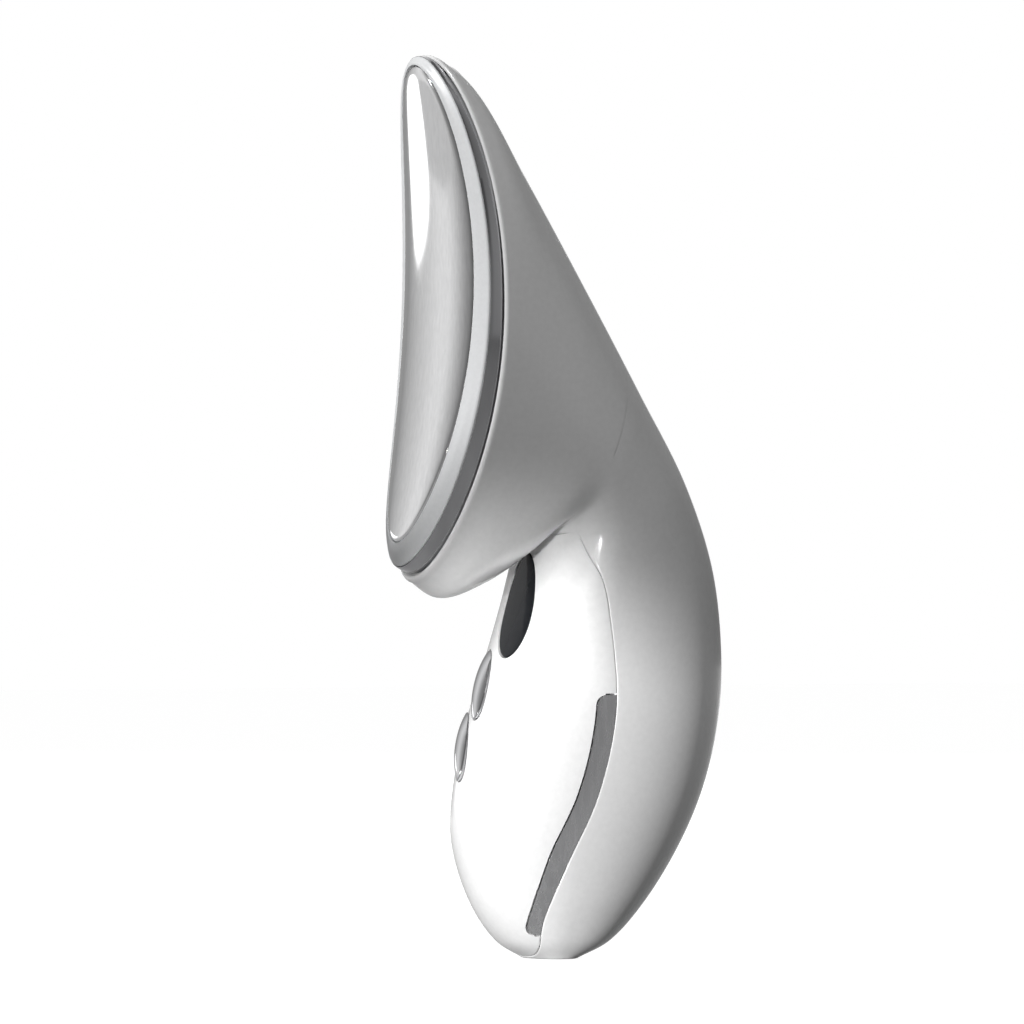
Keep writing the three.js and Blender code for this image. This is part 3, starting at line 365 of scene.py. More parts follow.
def seam_rows(grow):
    """Shares and turns at which the housing's surface meets the seam, moved by a distance."""
    region = cover_region(grow)

    def tip(outside, within):
        for _ in range(40):
            middle = (outside + within) / 2
            if inside(skin(middle, 0.0)[..., 1:], region):
                within = middle
            else:
                outside = middle
        return within

    first, last = tip(0.2, 0.5), tip(1.0, 0.9)
    shares = first + (last - first) * (1 - np.cos(np.linspace(0, np.pi, SEAM_ROWS))) / 2
    turns = np.linspace(0, np.pi, 500)
    covered = inside(skin(shares[:, None], turns)[..., 1:], region)
    outer = np.argmin(covered, axis=1)
    low, high = turns[np.maximum(outer - 1, 0)], turns[outer]
    for _ in range(30):
        middle = (low + high) / 2
        within = inside(skin(shares, middle)[..., 1:], region)
        low, high = np.where(within, middle, low), np.where(within, high, middle)
    found = np.where(outer == 0, 0, low)
    found[0] = found[-1] = 0
    return shares, found


def seam_lip(flat, edge):
    """On both sides, a rounded edge between two rows along the seam and a wall into the housing."""
    grids = []
    for side in (1, -1):
        start = skin(flat[0], side * flat[1])
        corner = skin(edge[0], side * edge[1])
        normal = skin_normal(edge[0], side * edge[1])
        rows = round_corner(start, corner, corner - normal * EDGE_ROUND)
        rows.append(corner - normal * WALL)
        rows.append(start - skin_normal(flat[0], side * flat[1]) * WALL)
        grids.append((np.stack(rows), False))
    return grids


# Rear shell and front cover

SEAM_ROWS = 190
HEAD_ROWS = 90
FOOT_ROWS = 8
AROUND = 200
COVER_COLUMNS = 141
HEAD_START = 0.01  # share of the fan at which the skin meets the rim's bead
FOOT_END = 0.995


def leaf(outline, turn, surface, shift=0.0, grow=0.0, scale=1.0):
    """Ring of points on a head outline, seen from the front, laid on a surface y(x, z)."""
    bottom, top, half, _, top_power = outline
    middle = (bottom[1] + top[1]) / 2
    half_length = (top[1] - bottom[1]) / 2 + grow
    power = np.where(-np.cos(turn) >= 0, top_power, BOTTOM_POWER)
    x = scale * (half + grow) * signed_power(np.sin(turn), 2 / power)
    z = middle + scale * half_length * signed_power(-np.cos(turn), 2 / power)
    return np.stack([x, surface(x, z) + shift, z], -1)


def edge_level(outline):
    """Level y(x, z) of a head outline: straight across, hollow along its length."""
    bottom, top, _, sag, _ = outline

    def level(x, z):
        along = (2 * z - top[1] - bottom[1]) / (top[1] - bottom[1])
        return (bottom[0] + top[0]) / 2 + along * (top[0] - bottom[0]) / 2 + sag * (1 - along * along)
    return level


plate_edge, ring_face, rim_face = edge_level(PLATE), edge_level(RING), edge_level(RIM)


def plate_face(x, z):
    """Level of the plate's crowned face."""
    bottom, top, half, _, top_power = PLATE
    along = np.abs(2 * z - top[1] - bottom[1]) / (top[1] - bottom[1])
    power = np.where(2 * z > top[1] + bottom[1], top_power, BOTTOM_POWER)
    share = np.minimum((np.abs(x) / half) ** power + along ** power, 1)
    crown = PLATE_CROWN * (1 - share ** (2 / power))
    roll = PLATE_ROLL * (1 - share ** (6 / power))
    return plate_edge(x, z) - crown - roll


def socket_outline(turn):
    """Flat oval of the charging socket's opening, met from the middle in each direction."""
    radius = SOCKET_HALF_DEPTH + SOCKET_GAP
    run = SOCKET_HALF_WIDTH - SOCKET_HALF_DEPTH
    ring = skin(1.0, turn)
    way = ring[..., :2] / np.linalg.norm(ring[..., :2], axis=-1, keepdims=True)
    on_side = np.abs(way[..., 0]) * radius > run * np.abs(way[..., 1])
    to_flat = radius / np.maximum(np.abs(way[..., 1]), 1e-6)
    to_end = run * np.abs(way[..., 0]) + np.sqrt(np.maximum(radius ** 2 - (run * way[..., 1]) ** 2, 0))
    return way * np.where(on_side, to_end, to_flat)[..., None]


def flat_ring(outline, z):
    return np.concatenate([outline, np.full(outline.shape[:-1] + (1,), float(z))], -1)


def rear_shell_mesh():
    """Skin round the cover's opening, the lip round the head and the foot with the socket's opening."""
    flat = seam_rows(SEAM_GAP + EDGE_ROUND)
    edge = seam_rows(SEAM_GAP)
    head = np.linspace(HEAD_START, flat[0][0], HEAD_ROWS, endpoint=False)
    foot = np.linspace(flat[0][-1], FOOT_END, FOOT_ROWS)[1:]
    shares = np.concatenate([head, flat[0], foot])
    opening = np.concatenate([head * 0, flat[1], foot * 0])
    around = np.linspace(0, 1, AROUND + 1)
    turns = opening[:, None] + around * (2 * np.pi - 2 * opening[:, None])
    outer = skin(shares[:, None], turns)
    inner = outer - skin_normal(shares[:, None], turns) * WALL
    full = around * 2 * np.pi
    bead = leaf(RIM, full, rim_face, -LIP_RISE, -LIP_WIDTH)
    rim = round_corner(outer[0], leaf(RIM, full, rim_face, -LIP_RISE), bead)
    rim += round_corner(bead, leaf(RIM, full, rim_face, -LIP_RISE, RIM_SEAT - LIP_FOOT),
                        leaf(RIM, full, rim_face, RIM_SEAT, -LIP_FOOT))[1:]
    rim.append(leaf(RIM, full, rim_face, RIM_SEAT, -WALL))
    rim.append(leaf(RIM, full, rim_face, RIM_DEPTH, -WALL))
    rim.append(inner[0])
    ring = skin(1.0, full)
    flat_foot = ring * (1 - FOOT_ROUND / np.linalg.norm(ring[..., :2], axis=-1, keepdims=True)) * [1, 1, 0]
    base = round_corner(outer[-1], ring, flat_foot)
    for share in (0.35, 0.7, 1):
        base.append(flat_foot * (1 - share) + flat_ring(socket_outline(full), 0) * share)
    base.append(flat_ring(socket_outline(full), FOOT_THICKNESS))
    base.append(inner[-1])
    grids = [(outer, False), (inner, False), (np.stack(rim), False), (np.stack(base), False)]
    return mesh_of("rear_shell_skin", grids + seam_lip(flat, edge))


def front_cover_mesh():
    """Skin inside the seam, before the openings are cut."""
    flat = seam_rows(-EDGE_ROUND)
    edge = seam_rows(0.0)
    across = np.linspace(-1, 1, COVER_COLUMNS)
    turns = flat[1][:, None] * across
    outer = skin(flat[0][:, None], turns)
    inner = outer - skin_normal(flat[0][:, None], turns) * WALL
    return mesh_of("front_cover_skin", [(outer, False), (inner, False)] + seam_lip(flat, edge))


# The whole outer skin, for laying fittings on it
dense = skin(np.linspace(0, 1, 700)[:, None], np.linspace(0, 2 * np.pi, 481))
SKIN_TREE = BVHTree.FromPolygons(dense.reshape(-1, 3).tolist(), grid_faces(*dense.shape[:2]))


def met_from(points, start, way):
    """Where rays along way, started from points moved to start on that axis, first meet the skin."""
    axis = int(np.argmax(np.abs(way)))
    result = np.array(points, float)
    for index in np.ndindex(result.shape[:-1]):
        origin = Vector(result[index])
        origin[axis] = start
        hit = SKIN_TREE.ray_cast(origin, Vector(way))[0]
        if hit is not None:
            result[index] = hit
    return result


def on_cover(points):
    """Points moved along y onto the front of the handle, found from inside it, clear of the chin."""
    return met_from(points, 4, (0, -1, 0))


def oval_points(spec, radii, angles, grow=0.0):
    """Leaning oval seen from the front."""
    x, z, half_width, half_height, lean = spec
    tilt = math.radians(lean)
    wide = (half_width + grow) * np.cos(angles) * radii
    high = (half_height + grow) * np.sin(angles) * radii
    level = z + wide * np.sin(tilt) + high * np.cos(tilt)
    return np.stack([x + wide * np.cos(tilt) - high * np.sin(tilt), np.zeros_like(wide), level], -1)


def oval_cutter(name, spec):
    """Bar through the front of the housing, a gap wider than an oval."""
    angles = np.linspace(0, 2 * np.pi, 128, endpoint=False)
    ring = oval_points(spec, 1.0, angles, OVAL_GAP)
    middle = np.broadcast_to(ring.mean(0), ring.shape)
    front, back = [0, -60, 0], [0, 40, 0]
    return mesh_of(name, [(np.stack([middle + front, ring + front, ring + back, middle + back]), True)])


def window_mesh():
    radii = np.concatenate([[0], np.linspace(0.08, 1, 20)])[:, None]
    angles = np.linspace(0, 2 * np.pi, 120, endpoint=False)[None, :]
    sheet = on_cover(oval_points(WINDOW, radii, angles)) + [0, WINDOW_SINK, 0]
    return closed_sheet("display_window_lens", sheet, WINDOW_THICKNESS, bevel=0.25, segments=4, closed=True)


def button_mesh(name, spec):
    """Domed cap that leans with the cover's surface at its middle."""
    x, z = spec[:2]
    middle = on_cover(np.array([[x, 0, z]]))[0]
    step = 1.5
    near = on_cover(np.array([[x - step, 0, z], [x + step, 0, z], [x, 0, z - step], [x, 0, z + step]]))[:, 1]
    outward = np.array([near[1] - near[0], -2 * step, near[3] - near[2]])
    outward /= np.linalg.norm(outward)
    radii = np.concatenate([[0], np.linspace(0.08, 1, 20)])[:, None]
    angles = np.linspace(0, 2 * np.pi, 96, endpoint=False)[None, :]
    flat = oval_points(spec, radii, angles)
    flat[..., 1] = middle[1] - ((flat - [x, 0, z]) * [outward[0], 0, outward[2]]).sum(-1) / outward[1]
    spread = 1 / math.sqrt(1 - (1 - BUTTON_RISE / BUTTON_BULGE) ** 2)
    rise = BUTTON_RISE - BUTTON_BULGE + BUTTON_BULGE * np.sqrt(1 - (radii / spread) ** 2)
    sheet = flat + outward * np.maximum(rise, 0)[..., None]
    wall = sheet[-1:] + np.array([0, 1, 0]) * BUTTON_DEPTH
    back = wall.mean(1, keepdims=True) + (wall - wall.mean(1, keepdims=True)) * 0.02
    mesh = mesh_of(name, [(np.concatenate([sheet, wall, back]), True)])
    bevel_edges(mesh, 0.45, 5)
    return mesh


def strip_sheet(side, grow, rows, columns):
    """Face of the side strip on the housing, in front of the seam, grown by a distance."""
    along = (1 - np.cos(np.linspace(0, np.pi, rows))) / 2
    share = STRIP_FROM + (STRIP_TO - STRIP_FROM) * along
    point = seam_point(share)
    tangent = seam_tangent(share)
    taper = np.clip((share - STRIP_FROM) / STRIP_TAPER, 0, 1)
    taper = taper * taper * (3 - 2 * taper)
    width = STRIP_WIDTH_FOOT + (STRIP_WIDTH_TOP - STRIP_WIDTH_FOOT) * taper
    from_end = np.minimum(along, 1 - along) * SEAM_LENGTHS[-1] * (STRIP_TO - STRIP_FROM)
    corner = np.sqrt(1 - (1 - np.minimum(from_end / STRIP_CORNER, 1)) ** 2)
    reach = width - STRIP_CORNER * (1 - corner) + grow
    normal = np.stack([tangent[:, 1], -tangent[:, 0]], -1)
    rear = point + normal * (grow - SEAM_GAP)
    front = point - normal * reach[:, None]
    rear[0] -= tangent[0] * grow
    front[0] -= tangent[0] * grow
    rear[-1] += tangent[-1] * grow
    front[-1] += tangent[-1] * grow
    across = np.linspace(0, 1, columns)[None, :, None]
    flat = rear[:, None] * (1 - across) + front[:, None] * across
    points = np.concatenate([np.zeros(flat.shape[:2] + (1,)), flat], -1)
    return met_from(points, 60 * side, (-side, 0, 0))


def strip_mesh(name, side):
    return closed_sheet(name, strip_sheet(side, 0.0, 130, 10), STRIP_THICKNESS, bevel=0.22, segments=3)


def strip_cutter(name, side):
    """Recess for the side strip, a gap larger than it."""
    sheet = strip_sheet(side, STRIP_GAP, 90, 8)
    normal = np.cross(np.gradient(sheet, axis=1), np.gradient(sheet, axis=0))
    normal /= np.linalg.norm(normal, axis=-1, keepdims=True)
    normal *= np.sign(normal[..., :1]) * side
    return mesh_of(name, box_grids(sheet + normal * 3, sheet - normal * (STRIP_THICKNESS + STRIP_GAP)))


# Head fittings

FULL = np.linspace(0, 2 * np.pi, 241)[:-1]


def plate_mesh():
    """Crowned dish with a rounded border and an edge turned in behind it."""
    rows = [leaf(PLATE, FULL, plate_face, PLATE_SINK, scale=s) for s in (0.0, *np.linspace(0.03, 0.965, 34))]
    rows += round_corner(rows[-1], leaf(PLATE, FULL, plate_edge, PLATE_SINK),
                         leaf(PLATE, FULL, plate_edge, PLATE_SINK + 0.6), 6)[1:]
    rows.append(leaf(PLATE, FULL, plate_edge, PLATE_DEPTH))
    rows.append(leaf(PLATE, FULL, plate_edge, PLATE_DEPTH, -PLATE_LIP))
    rows += [leaf(PLATE, FULL, plate_face, PLATE_DEPTH - 1, -PLATE_LIP, s) for s in (1.0, 0.6, 0.3, 0.0)]
    return mesh_of("treatment_plate_skin", [(np.stack(rows), True)])


def arched(inner, outer, share, height):
    """Row at a share of the way between two others, raised to the front in an arch."""
    return inner + (outer - inner) * share + np.array([0, -height * math.sin(math.pi * share), 0])


def ring_mesh():
    """Arched band between the plate and the bezel."""
    inner = leaf(PLATE, FULL, plate_edge, PLATE_SINK, TRIM_GAP)
    outer = leaf(RING, FULL, ring_face, -RING_STEP, -0.4)
    side = leaf(RING, FULL, ring_face, RING_STEP)
    inset = inner + (outer - inner) * 0.1
    rows = round_corner(inner + [0, PLATE_SINK, 0], inner, inset, 4)
    for share in (0.3, 0.5, 0.7, 0.88):
        rows.append(arched(inner, outer, share, RING_BULGE))
    rows += round_corner(rows[-1], outer + (side - outer) * [1, 0, 1] * 0.7, side, 5)[1:]
    rows.append(leaf(RING, FULL, ring_face, RING_THICKNESS))
    rows.append(leaf(PLATE, FULL, ring_face, RING_THICKNESS, TRIM_GAP))
    rows.append(rows[0])
    return mesh_of("light_ring_band", [(np.stack(rows), True)])


def bezel_mesh():
    """Arched band between the ring and the rim's lip, with a spigot behind it."""
    inner = leaf(RING, FULL, ring_face, RIM_SEAT, TRIM_GAP)
    outer = leaf(RIM, FULL, rim_face, -BEZEL_RISE, -BEZEL_INSET)
    rows = round_corner(inner + [0, 0.4, 0], inner, inner + (outer - inner) * 0.18, 4)
    for share in (0.3, 0.5, 0.7, 0.84):
        rows.append(arched(inner, outer, share, BEZEL_BULGE))
    rows += round_corner(rows[-1], outer, leaf(RIM, FULL, rim_face, -0.02, -BEZEL_INSET), 5)[1:]
    rows.append(leaf(RIM, FULL, rim_face, -0.02, -SPIGOT_INSET))
    rows.append(leaf(RIM, FULL, rim_face, SPIGOT_DEPTH, -SPIGOT_INSET))
    rows.append(leaf(RIM, FULL, rim_face, SPIGOT_DEPTH, -SPIGOT_INSIDE))
    rows.append(leaf(RIM, FULL, ring_face, BEZEL_THICKNESS, -SPIGOT_INSIDE))
    rows.append(leaf(RING, FULL, ring_face, BEZEL_THICKNESS, TRIM_GAP))
    rows.append(rows[0])
    return mesh_of("head_bezel_band", [(np.stack(rows), True)])


# Materials

GRAIN_DETAIL = 4.0
GRAIN_RANGE = (0.3, 0.7)
COAT_ROUGHNESS = 0.05
LENS_SPECULAR = 0.12


def new_material(name, color, roughness, metallic=0.0, coat=0.0):
    material = bpy.data.materials.new(name)
    material.use_nodes = True
    shader = material.node_tree.nodes["Principled BSDF"]
    shader.inputs["Base Color"].default_value = (*color, 1)
    shader.inputs["Roughness"].default_value = roughness
    shader.inputs["Metallic"].default_value = metallic
    shader.inputs["Coat Weight"].default_value = coat
    shader.inputs["Coat Roughness"].default_value = COAT_ROUGHNESS
    return material


def feed(tree, node, inputs):
    """Sets a node's inputs, by name or number, to values or links them to outputs."""
    for key, value in inputs.items():
        if isinstance(value, bpy.types.NodeSocket):
            tree.links.new(value, node.inputs[key])
        else:
            node.inputs[key].default_value = value


def new_node(tree, kind, inputs):
    node = tree.nodes.new(kind)
    feed(tree, node, inputs)
    return node


def larger(tree, first, second):
    """Output of a node that passes the larger of two values."""
    node = new_node(tree, "ShaderNodeMath", {0: first, 1: second})
    node.operation = "MAXIMUM"
    return node.outputs[0]


def grain(material, scale, stretch, colors, roughness, bump):
    """Fine noise, stretched along an axis, in a material's colour, roughness and bump."""
    tree = material.node_tree
    place = new_node(tree, "ShaderNodeTexCoord", {})
    mapping = new_node(tree, "ShaderNodeMapping", {"Scale": stretch, "Vector": place.outputs["Object"]})
    noise = new_node(tree, "ShaderNodeTexNoise", {
        "Scale": scale, "Detail": GRAIN_DETAIL, "Vector": mapping.outputs["Vector"]})
    ramp = new_node(tree, "ShaderNodeValToRGB", {"Fac": noise.outputs["Fac"]})
    for element, color, position in zip(ramp.color_ramp.elements, colors, GRAIN_RANGE):
        element.color = (*color, 1)
        element.position = position
    spread = new_node(tree, "ShaderNodeMapRange", {
        "To Min": roughness[0], "To Max": roughness[1], "Value": noise.outputs["Fac"]})
    looks = {"Base Color": ramp.outputs["Color"], "Roughness": spread.outputs["Result"]}
    if bump:
        relief = new_node(tree, "ShaderNodeBump", {
            "Strength": bump[0], "Distance": bump[1], "Height": noise.outputs["Fac"]})
        looks["Normal"] = relief.outputs["Normal"]
    feed(tree, tree.nodes["Principled BSDF"], looks)


def finish(name, scale, stretch, colors, roughness, metallic=0.0, coat=0.0, bump=None):
    """Material whose colour and roughness each vary between two values."""
    material = new_material(name, colors[0], roughness[0], metallic, coat)
    grain(material, scale, stretch, colors, roughness, bump)
    return material


WHITE = finish("white_gloss_plastic", 900, (1, 1, 1), ((0.86, 0.86, 0.86), (0.9, 0.9, 0.9)), (0.16, 0.22),
               coat=0.4, bump=(0.04, 0.00002))
PLATE_METAL = finish("satin_plate_metal", 1600, (1, 1, 0.25), ((0.68, 0.68, 0.685), (0.74, 0.74, 0.745)),
                     (0.05, 0.09), metallic=1.0, bump=(0.04, 0.00001))
# Painted shade: this chrome's colour is set darker than the buttons' chrome below, standing in for the dark
# room its band mirrors
CHROME_PAINTED_DARK = finish("polished_trim_painted_dark", 240, (1, 1, 0.12), ((0.36, 0.36, 0.37), (0.42, 0.42, 0.43)), (0.06, 0.12),
                metallic=1.0)
STRIP_METAL = finish("satin_strip_metal", 1100, (1, 1, 0.15), ((0.55, 0.55, 0.56), (0.63, 0.63, 0.64)),
                     (0.22, 0.32), metallic=1.0, bump=(0.05, 0.00002))
LIGHT_GUIDE = finish("frosted_light_guide", 1400, (1, 1, 1), ((0.8, 0.81, 0.82), (0.84, 0.85, 0.86)),
                     (0.3, 0.4), bump=(0.06, 0.00002))
# The same polished chrome at its plain colour; the trim's chrome above is a darker copy with painted shade
BUTTON_METAL = finish("polished_button_metal", 240, (1, 1, 0.12), ((0.56, 0.56, 0.57), (0.64, 0.64, 0.65)),
                      (0.07, 0.13), metallic=1.0)
LENS = finish("dark_gloss_lens", 500, (1, 1, 1), ((0.011, 0.012, 0.014), (0.015, 0.016, 0.018)), (0.05, 0.09))
LENS.node_tree.nodes["Principled BSDF"].inputs["Specular IOR Level"].default_value = LENS_SPECULAR
INNER = finish("moulded_inner_plastic", 700, (1, 1, 1), ((0.6, 0.6, 0.57), (0.68, 0.68, 0.65)), (0.45, 0.6),
               bump=(0.1, 0.00004))
DARK = finish("black_moulded_plastic", 700, (1, 1, 1), ((0.02, 0.02, 0.022), (0.032, 0.032, 0.035)),
              (0.4, 0.55), bump=(0.1, 0.00004))
BOARD = finish("coated_circuit_board", 300, (1, 1, 1), ((0.012, 0.11, 0.05), (0.02, 0.15, 0.07)), (0.3, 0.45),
               coat=0.3)
STEEL = finish("turned_steel", 900, (1, 1, 0.2), ((0.46, 0.46, 0.47), (0.56, 0.56, 0.57)), (0.22, 0.36),
               metallic=1.0)
BRASS = finish("spring_brass", 900, (1, 1, 0.2), ((0.55, 0.4, 0.16), (0.66, 0.5, 0.22)), (0.2, 0.32),
               metallic=1.0)
HEATER = finish("heater_film", 600, (1, 1, 1), ((0.42, 0.14, 0.03), (0.55, 0.2, 0.05)), (0.35, 0.5),
                bump=(0.1, 0.00003))
CELL = finish("cell_wrap", 120, (1, 1, 0.1), ((0.05, 0.13, 0.33), (0.07, 0.17, 0.4)), (0.25, 0.35), coat=0.3)

SLOT_MATERIALS = {
    "white_shell": WHITE, "chrome_trim": CHROME_PAINTED_DARK, "satin_chrome": PLATE_METAL, "light_guide": LIGHT_GUIDE,
    "dark_lens": LENS, "inner_plastic": INNER, "dark_plastic": DARK, "circuit_board": BOARD, "steel": STEEL,
    "brass": BRASS, "heater_film": HEATER, "battery_wrap": CELL,
}

for part in frame["record"]["subparts"]:
    node = frame["nodes"][part["node"]]
    node.data.materials.clear()
    node.data.materials.append(SLOT_MATERIALS[part["material_slot"]])
    node.data.set_sharp_from_angle(angle=CAD_SHARP_ANGLE)


# Pieces

new_object("rear_shell_skin", rear_shell_mesh(), "handset", ["rear_shell"], WHITE)
cover = new_object("front_cover_skin", front_cover_mesh(), "handset", ["front_cover"], WHITE)
cut(cover, [
    oval_cutter("window_hole", WINDOW),
    oval_cutter("power_hole", POWER_BUTTON),
    oval_cutter("mode_hole", MODE_BUTTON),
    strip_cutter("right_recess", 1),
    strip_cutter("left_recess", -1),
])
cover.data.set_sharp_from_angle(angle=SHARP_ANGLE)
new_object("display_window_lens", window_mesh(), "handset", ["display_window"], LENS)
new_object("power_button_cap", button_mesh("power_button_cap", POWER_BUTTON), "power_key", ["power_button"],
           BUTTON_METAL)
new_object("mode_button_cap", button_mesh("mode_button_cap", MODE_BUTTON), "mode_key", ["mode_button"],
           BUTTON_METAL)
new_object("side_electrode_right_strip", strip_mesh("side_electrode_right_strip", 1), "handset",
           ["side_electrode_right"], STRIP_METAL)
new_object("side_electrode_left_strip", strip_mesh("side_electrode_left_strip", -1), "handset",
           ["side_electrode_left"], STRIP_METAL)
new_object("treatment_plate_skin", plate_mesh(), "handset", ["treatment_plate"], PLATE_METAL)
new_object("light_ring_band", ring_mesh(), "handset", ["light_ring"], LIGHT_GUIDE)
new_object("head_bezel_band", bezel_mesh(), "handset", ["head_bezel"], CHROME_PAINTED_DARK)


# Floor, background, lights and camera

# Brightness of the room for mirrored rays by azimuth: the white backdrop straight behind the
# device, a pale wall on the treated side and darker ones elsewhere
ROOM = [(-180, 0.15), (-128, 0.2), (-120, 0.9), (-114, 0.9), (-106, 0.35), (-86, 0.35), (-71, 0.64),
        (-54, 0.95), (-45, 0.95), (-31, 0.6), (-20, 0.36), (-8, 0.28), (60, 0.14), (85, 0.16), (115, 0.48),
        (180, 0.15)]
AMBIENT = 0.13
FLOOR_REACH = 3.0
FLOOR_GREY = 0.9
FLOOR_ROUGHNESS = 0.6
FLOOR_BOUNCE = 0.1
FLOOR_SEEN = 1.3  # brightness of the floor's glow for the camera
FLOOR_MIRRORED = (0.86, 0.23)  # the same for mirrored rays, at the two places below
FLOOR_PLACES = (-1.2, 0.4)  # along x, in metres
FLOOR_GLOW = 0.72  # share of the glow in what is seen of the floor
AZIMUTH = math.radians(65)
SCALE = 5.363  # photo pixels per millimetre at the device
PHOTO_SIZE = 1024
ORIGIN_COLUMN = 549  # photo pixel of the device's origin
ORIGIN_ROW = 958
LENS_MM = 400.0
SENSOR_MM = 36.0
LAMP_AIM = 0.085  # level that the softboxes face, in metres
SPOT_RADIUS = 0.012


def stage_panel(name, corners, material):
    mesh = bpy.data.meshes.new(name)
    mesh.from_pydata(corners, [], [(0, 1, 2, 3)])
    panel = bpy.data.objects.new(name, mesh)
    bpy.context.scene.collection.objects.link(panel)
    mesh.materials.append(material)


def light_room(tree):
    """Full strength for the camera, the room for mirrored rays and an even level for the others."""
    place = new_node(tree, "ShaderNodeTexCoord", {})
    parts = new_node(tree, "ShaderNodeSeparateXYZ", {0: place.outputs["Generated"]})
    flip = new_node(tree, "ShaderNodeMath", {0: parts.outputs["Y"], 1: -1})
    flip.operation = "MULTIPLY"
    azimuth = new_node(tree, "ShaderNodeMath", {0: parts.outputs["X"], 1: flip.outputs[0]})
    azimuth.operation = "ARCTAN2"
    turn = new_node(tree, "ShaderNodeMapRange", {
        "From Min": -math.pi, "From Max": math.pi, "Value": azimuth.outputs[0]})
    room = new_node(tree, "ShaderNodeValToRGB", {"Fac": turn.outputs["Result"]})
    elements = room.color_ramp.elements
    while len(elements) < len(ROOM):
        elements.new(0.5)
    for element, (degrees, value) in zip(elements, ROOM):
        element.position = degrees / 360 + 0.5
        element.color = (value, value, value, 1)
    rays = new_node(tree, "ShaderNodeLightPath", {})
    mirrored = larger(tree, rays.outputs["Is Glossy Ray"], rays.outputs["Is Transmission Ray"])
    unseen = new_node(tree, "ShaderNodeMix", {"Factor": mirrored, "A": AMBIENT, "B": room.outputs["Color"]})
    level = new_node(tree, "ShaderNodeMix", {
        "Factor": rays.outputs["Is Camera Ray"], "A": unseen.outputs["Result"], "B": 1})
    feed(tree, tree.nodes["Background"], {"Color": (1, 1, 1, 1), "Strength": level.outputs["Result"]})


def pale_floor():
    """White where the camera sees it, with the device's shadow in it, and grey for the other rays."""
    material = new_material("pale_floor", (FLOOR_GREY, FLOOR_GREY, FLOOR_GREY), FLOOR_ROUGHNESS)
    tree = material.node_tree
    place = new_node(tree, "ShaderNodeTexCoord", {})
    parts = new_node(tree, "ShaderNodeSeparateXYZ", {0: place.outputs["Object"]})
    slope = new_node(tree, "ShaderNodeMapRange", {
        "From Min": FLOOR_PLACES[0], "From Max": FLOOR_PLACES[1], "To Min": FLOOR_MIRRORED[0],
        "To Max": FLOOR_MIRRORED[1], "Value": parts.outputs["X"]})
    rays = new_node(tree, "ShaderNodeLightPath", {})
    strength = new_node(tree, "ShaderNodeMix", {
        "Factor": rays.outputs["Is Camera Ray"], "A": slope.outputs["Result"], "B": FLOOR_SEEN})
    glow = new_node(tree, "ShaderNodeEmission", {"Strength": strength.outputs["Result"]})
    shown = new_node(tree, "ShaderNodeMixShader", {
        "Fac": FLOOR_GLOW, 1: tree.nodes["Principled BSDF"].outputs[0], 2: glow.outputs[0]})
    bounce = new_node(tree, "ShaderNodeBsdfDiffuse", {"Color": (FLOOR_BOUNCE, FLOOR_BOUNCE, FLOOR_BOUNCE, 1)})
    seen = larger(tree, rays.outputs["Is Camera Ray"], rays.outputs["Is Glossy Ray"])
    seen = larger(tree, seen, rays.outputs["Is Transmission Ray"])
    pick = new_node(tree, "ShaderNodeMixShader", {"Fac": seen, 1: bounce.outputs[0], 2: shown.outputs[0]})
    feed(tree, tree.nodes["Material Output"], {"Surface": pick.outputs[0]})
    return material


def place_camera():
    """Camera that sees the device's origin at its place in the photo."""
    distance = LENS_MM * PHOTO_SIZE / (SENSOR_MM * SCALE)
    away = Vector((math.sin(AZIMUTH), -math.cos(AZIMUTH), 0))
    across = Vector((math.cos(AZIMUTH), math.sin(AZIMUTH), 0))
    aim_u = (PHOTO_SIZE / 2 - ORIGIN_COLUMN) / SCALE
    aim_z = (ORIGIN_ROW - PHOTO_SIZE / 2) / SCALE
    aim = across * aim_u + Vector((0, 0, aim_z))
    camera = bpy.data.objects.new("camera", bpy.data.cameras.new("camera"))
    bpy.context.scene.collection.objects.link(camera)
    camera.data.lens = LENS_MM
    camera.data.sensor_width = SENSOR_MM
    camera.data.clip_start = 0.01
    camera.data.clip_end = 20
    camera.location = Vector(to_row(aim + away * distance))
    camera.rotation_mode = "QUATERNION"
    camera.rotation_quaternion = (-away).to_track_quat("-Z", "Y")
    bpy.context.scene.camera = camera


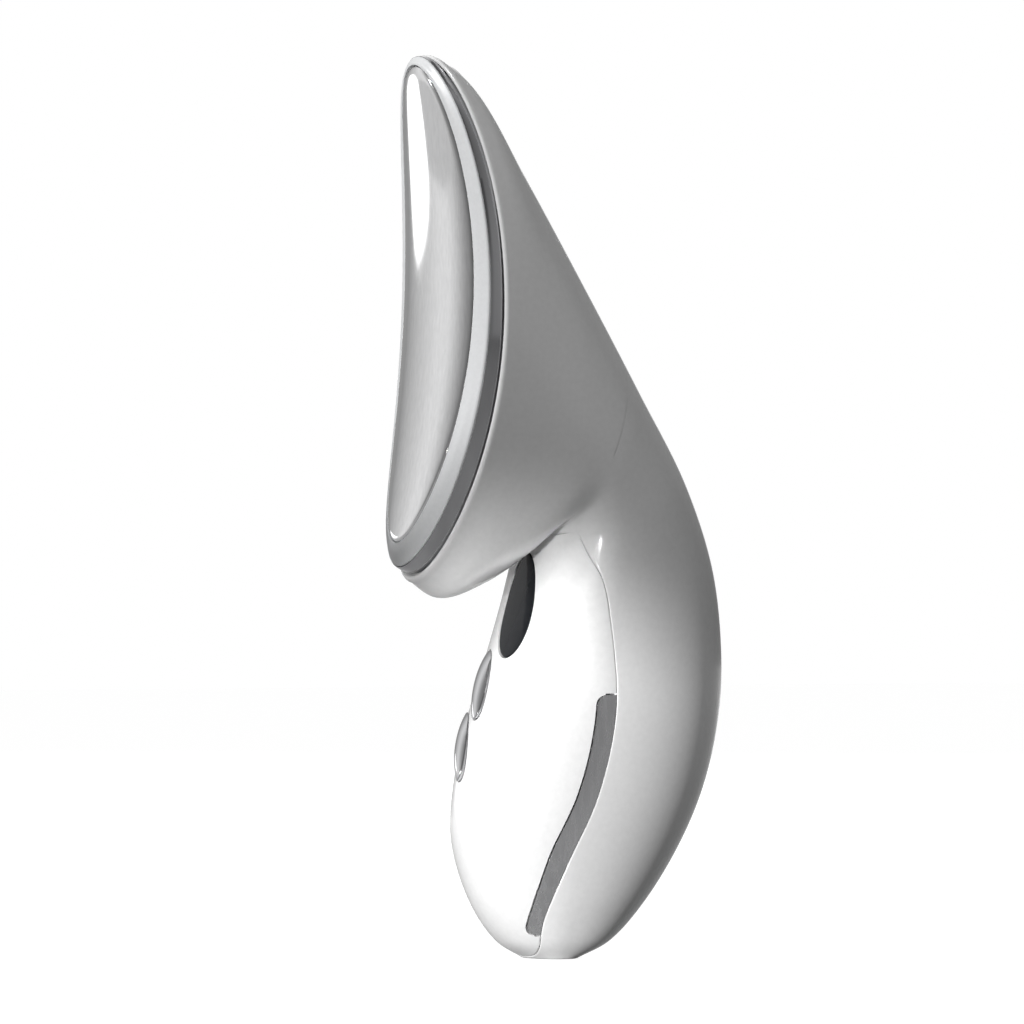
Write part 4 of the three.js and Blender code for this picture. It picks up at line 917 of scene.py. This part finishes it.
def hang(name, light, azimuth, elevation, range_m, aim_m):
    """Lamp at an azimuth and elevation in degrees that faces a level on the device's middle line."""
    lamp = bpy.data.objects.new(name, light)
    bpy.context.scene.collection.objects.link(lamp)
    a, e = math.radians(azimuth), math.radians(elevation)
    way = Vector((math.sin(a) * math.cos(e), -math.cos(a) * math.cos(e), math.sin(e)))
    lamp.location = Vector((0, 0, aim_m)) + way * range_m
    lamp.rotation_mode = "QUATERNION"
    lamp.rotation_quaternion = (-way).to_track_quat("-Z", "Y")
    return lamp


def area_light(name, azimuth, elevation, range_m, size, power):
    """Softbox that faces the device's middle."""
    light = bpy.data.lights.new(name, "AREA")
    light.shape = "RECTANGLE"
    light.size, light.size_y = size
    light.energy = power
    return hang(name, light, azimuth, elevation, range_m, LAMP_AIM)


def spot_light(name, azimuth, elevation, range_m, aim_m, reach_m, soft, power):
    """Lamp without highlights and with a soft-edged round beam."""
    light = bpy.data.lights.new(name, "SPOT")
    light.spot_size = 2 * math.atan(reach_m / range_m)
    light.spot_blend = soft
    light.shadow_soft_size = SPOT_RADIUS
    light.energy = power
    light.specular_factor = 0
    hang(name, light, azimuth, elevation, range_m, aim_m)


world = bpy.data.worlds.new("studio")
bpy.context.scene.world = world
world.use_nodes = True
light_room(world.node_tree)
floor_corners = [(x * FLOOR_REACH, y * FLOOR_REACH, 0) for x, y in ((-1, -1), (1, -1), (1, 1), (-1, 1))]
stage_panel("floor", floor_corners, pale_floor())
place_camera()

spot_light("head_spot", -15, 20, range_m=1.5, aim_m=0.138, reach_m=0.064, soft=0.3, power=60)
spot_light("handle_spot", 31, 1, range_m=1.5, aim_m=0.020, reach_m=0.050, soft=0.25, power=106)
spot_light("throat_spot", 42, -6, range_m=0.5, aim_m=0.070, reach_m=0.022, soft=1.0, power=7)
fill = area_light("side_softbox", 60, 50, range_m=1.6, size=(0.6, 0.6), power=8)
fill.visible_glossy = False
rear = area_light("rear_softbox", 238, 25, range_m=1.6, size=(0.8, 0.8), power=16)
rear.visible_glossy = False
card = area_light("plate_card", -70.5, 1, range_m=0.909, size=(0.37, 0.100), power=0.12)
card.data.shape = "ELLIPSE"
card.visible_diffuse = False

bpy.context.scene.view_settings.view_transform = "Standard"
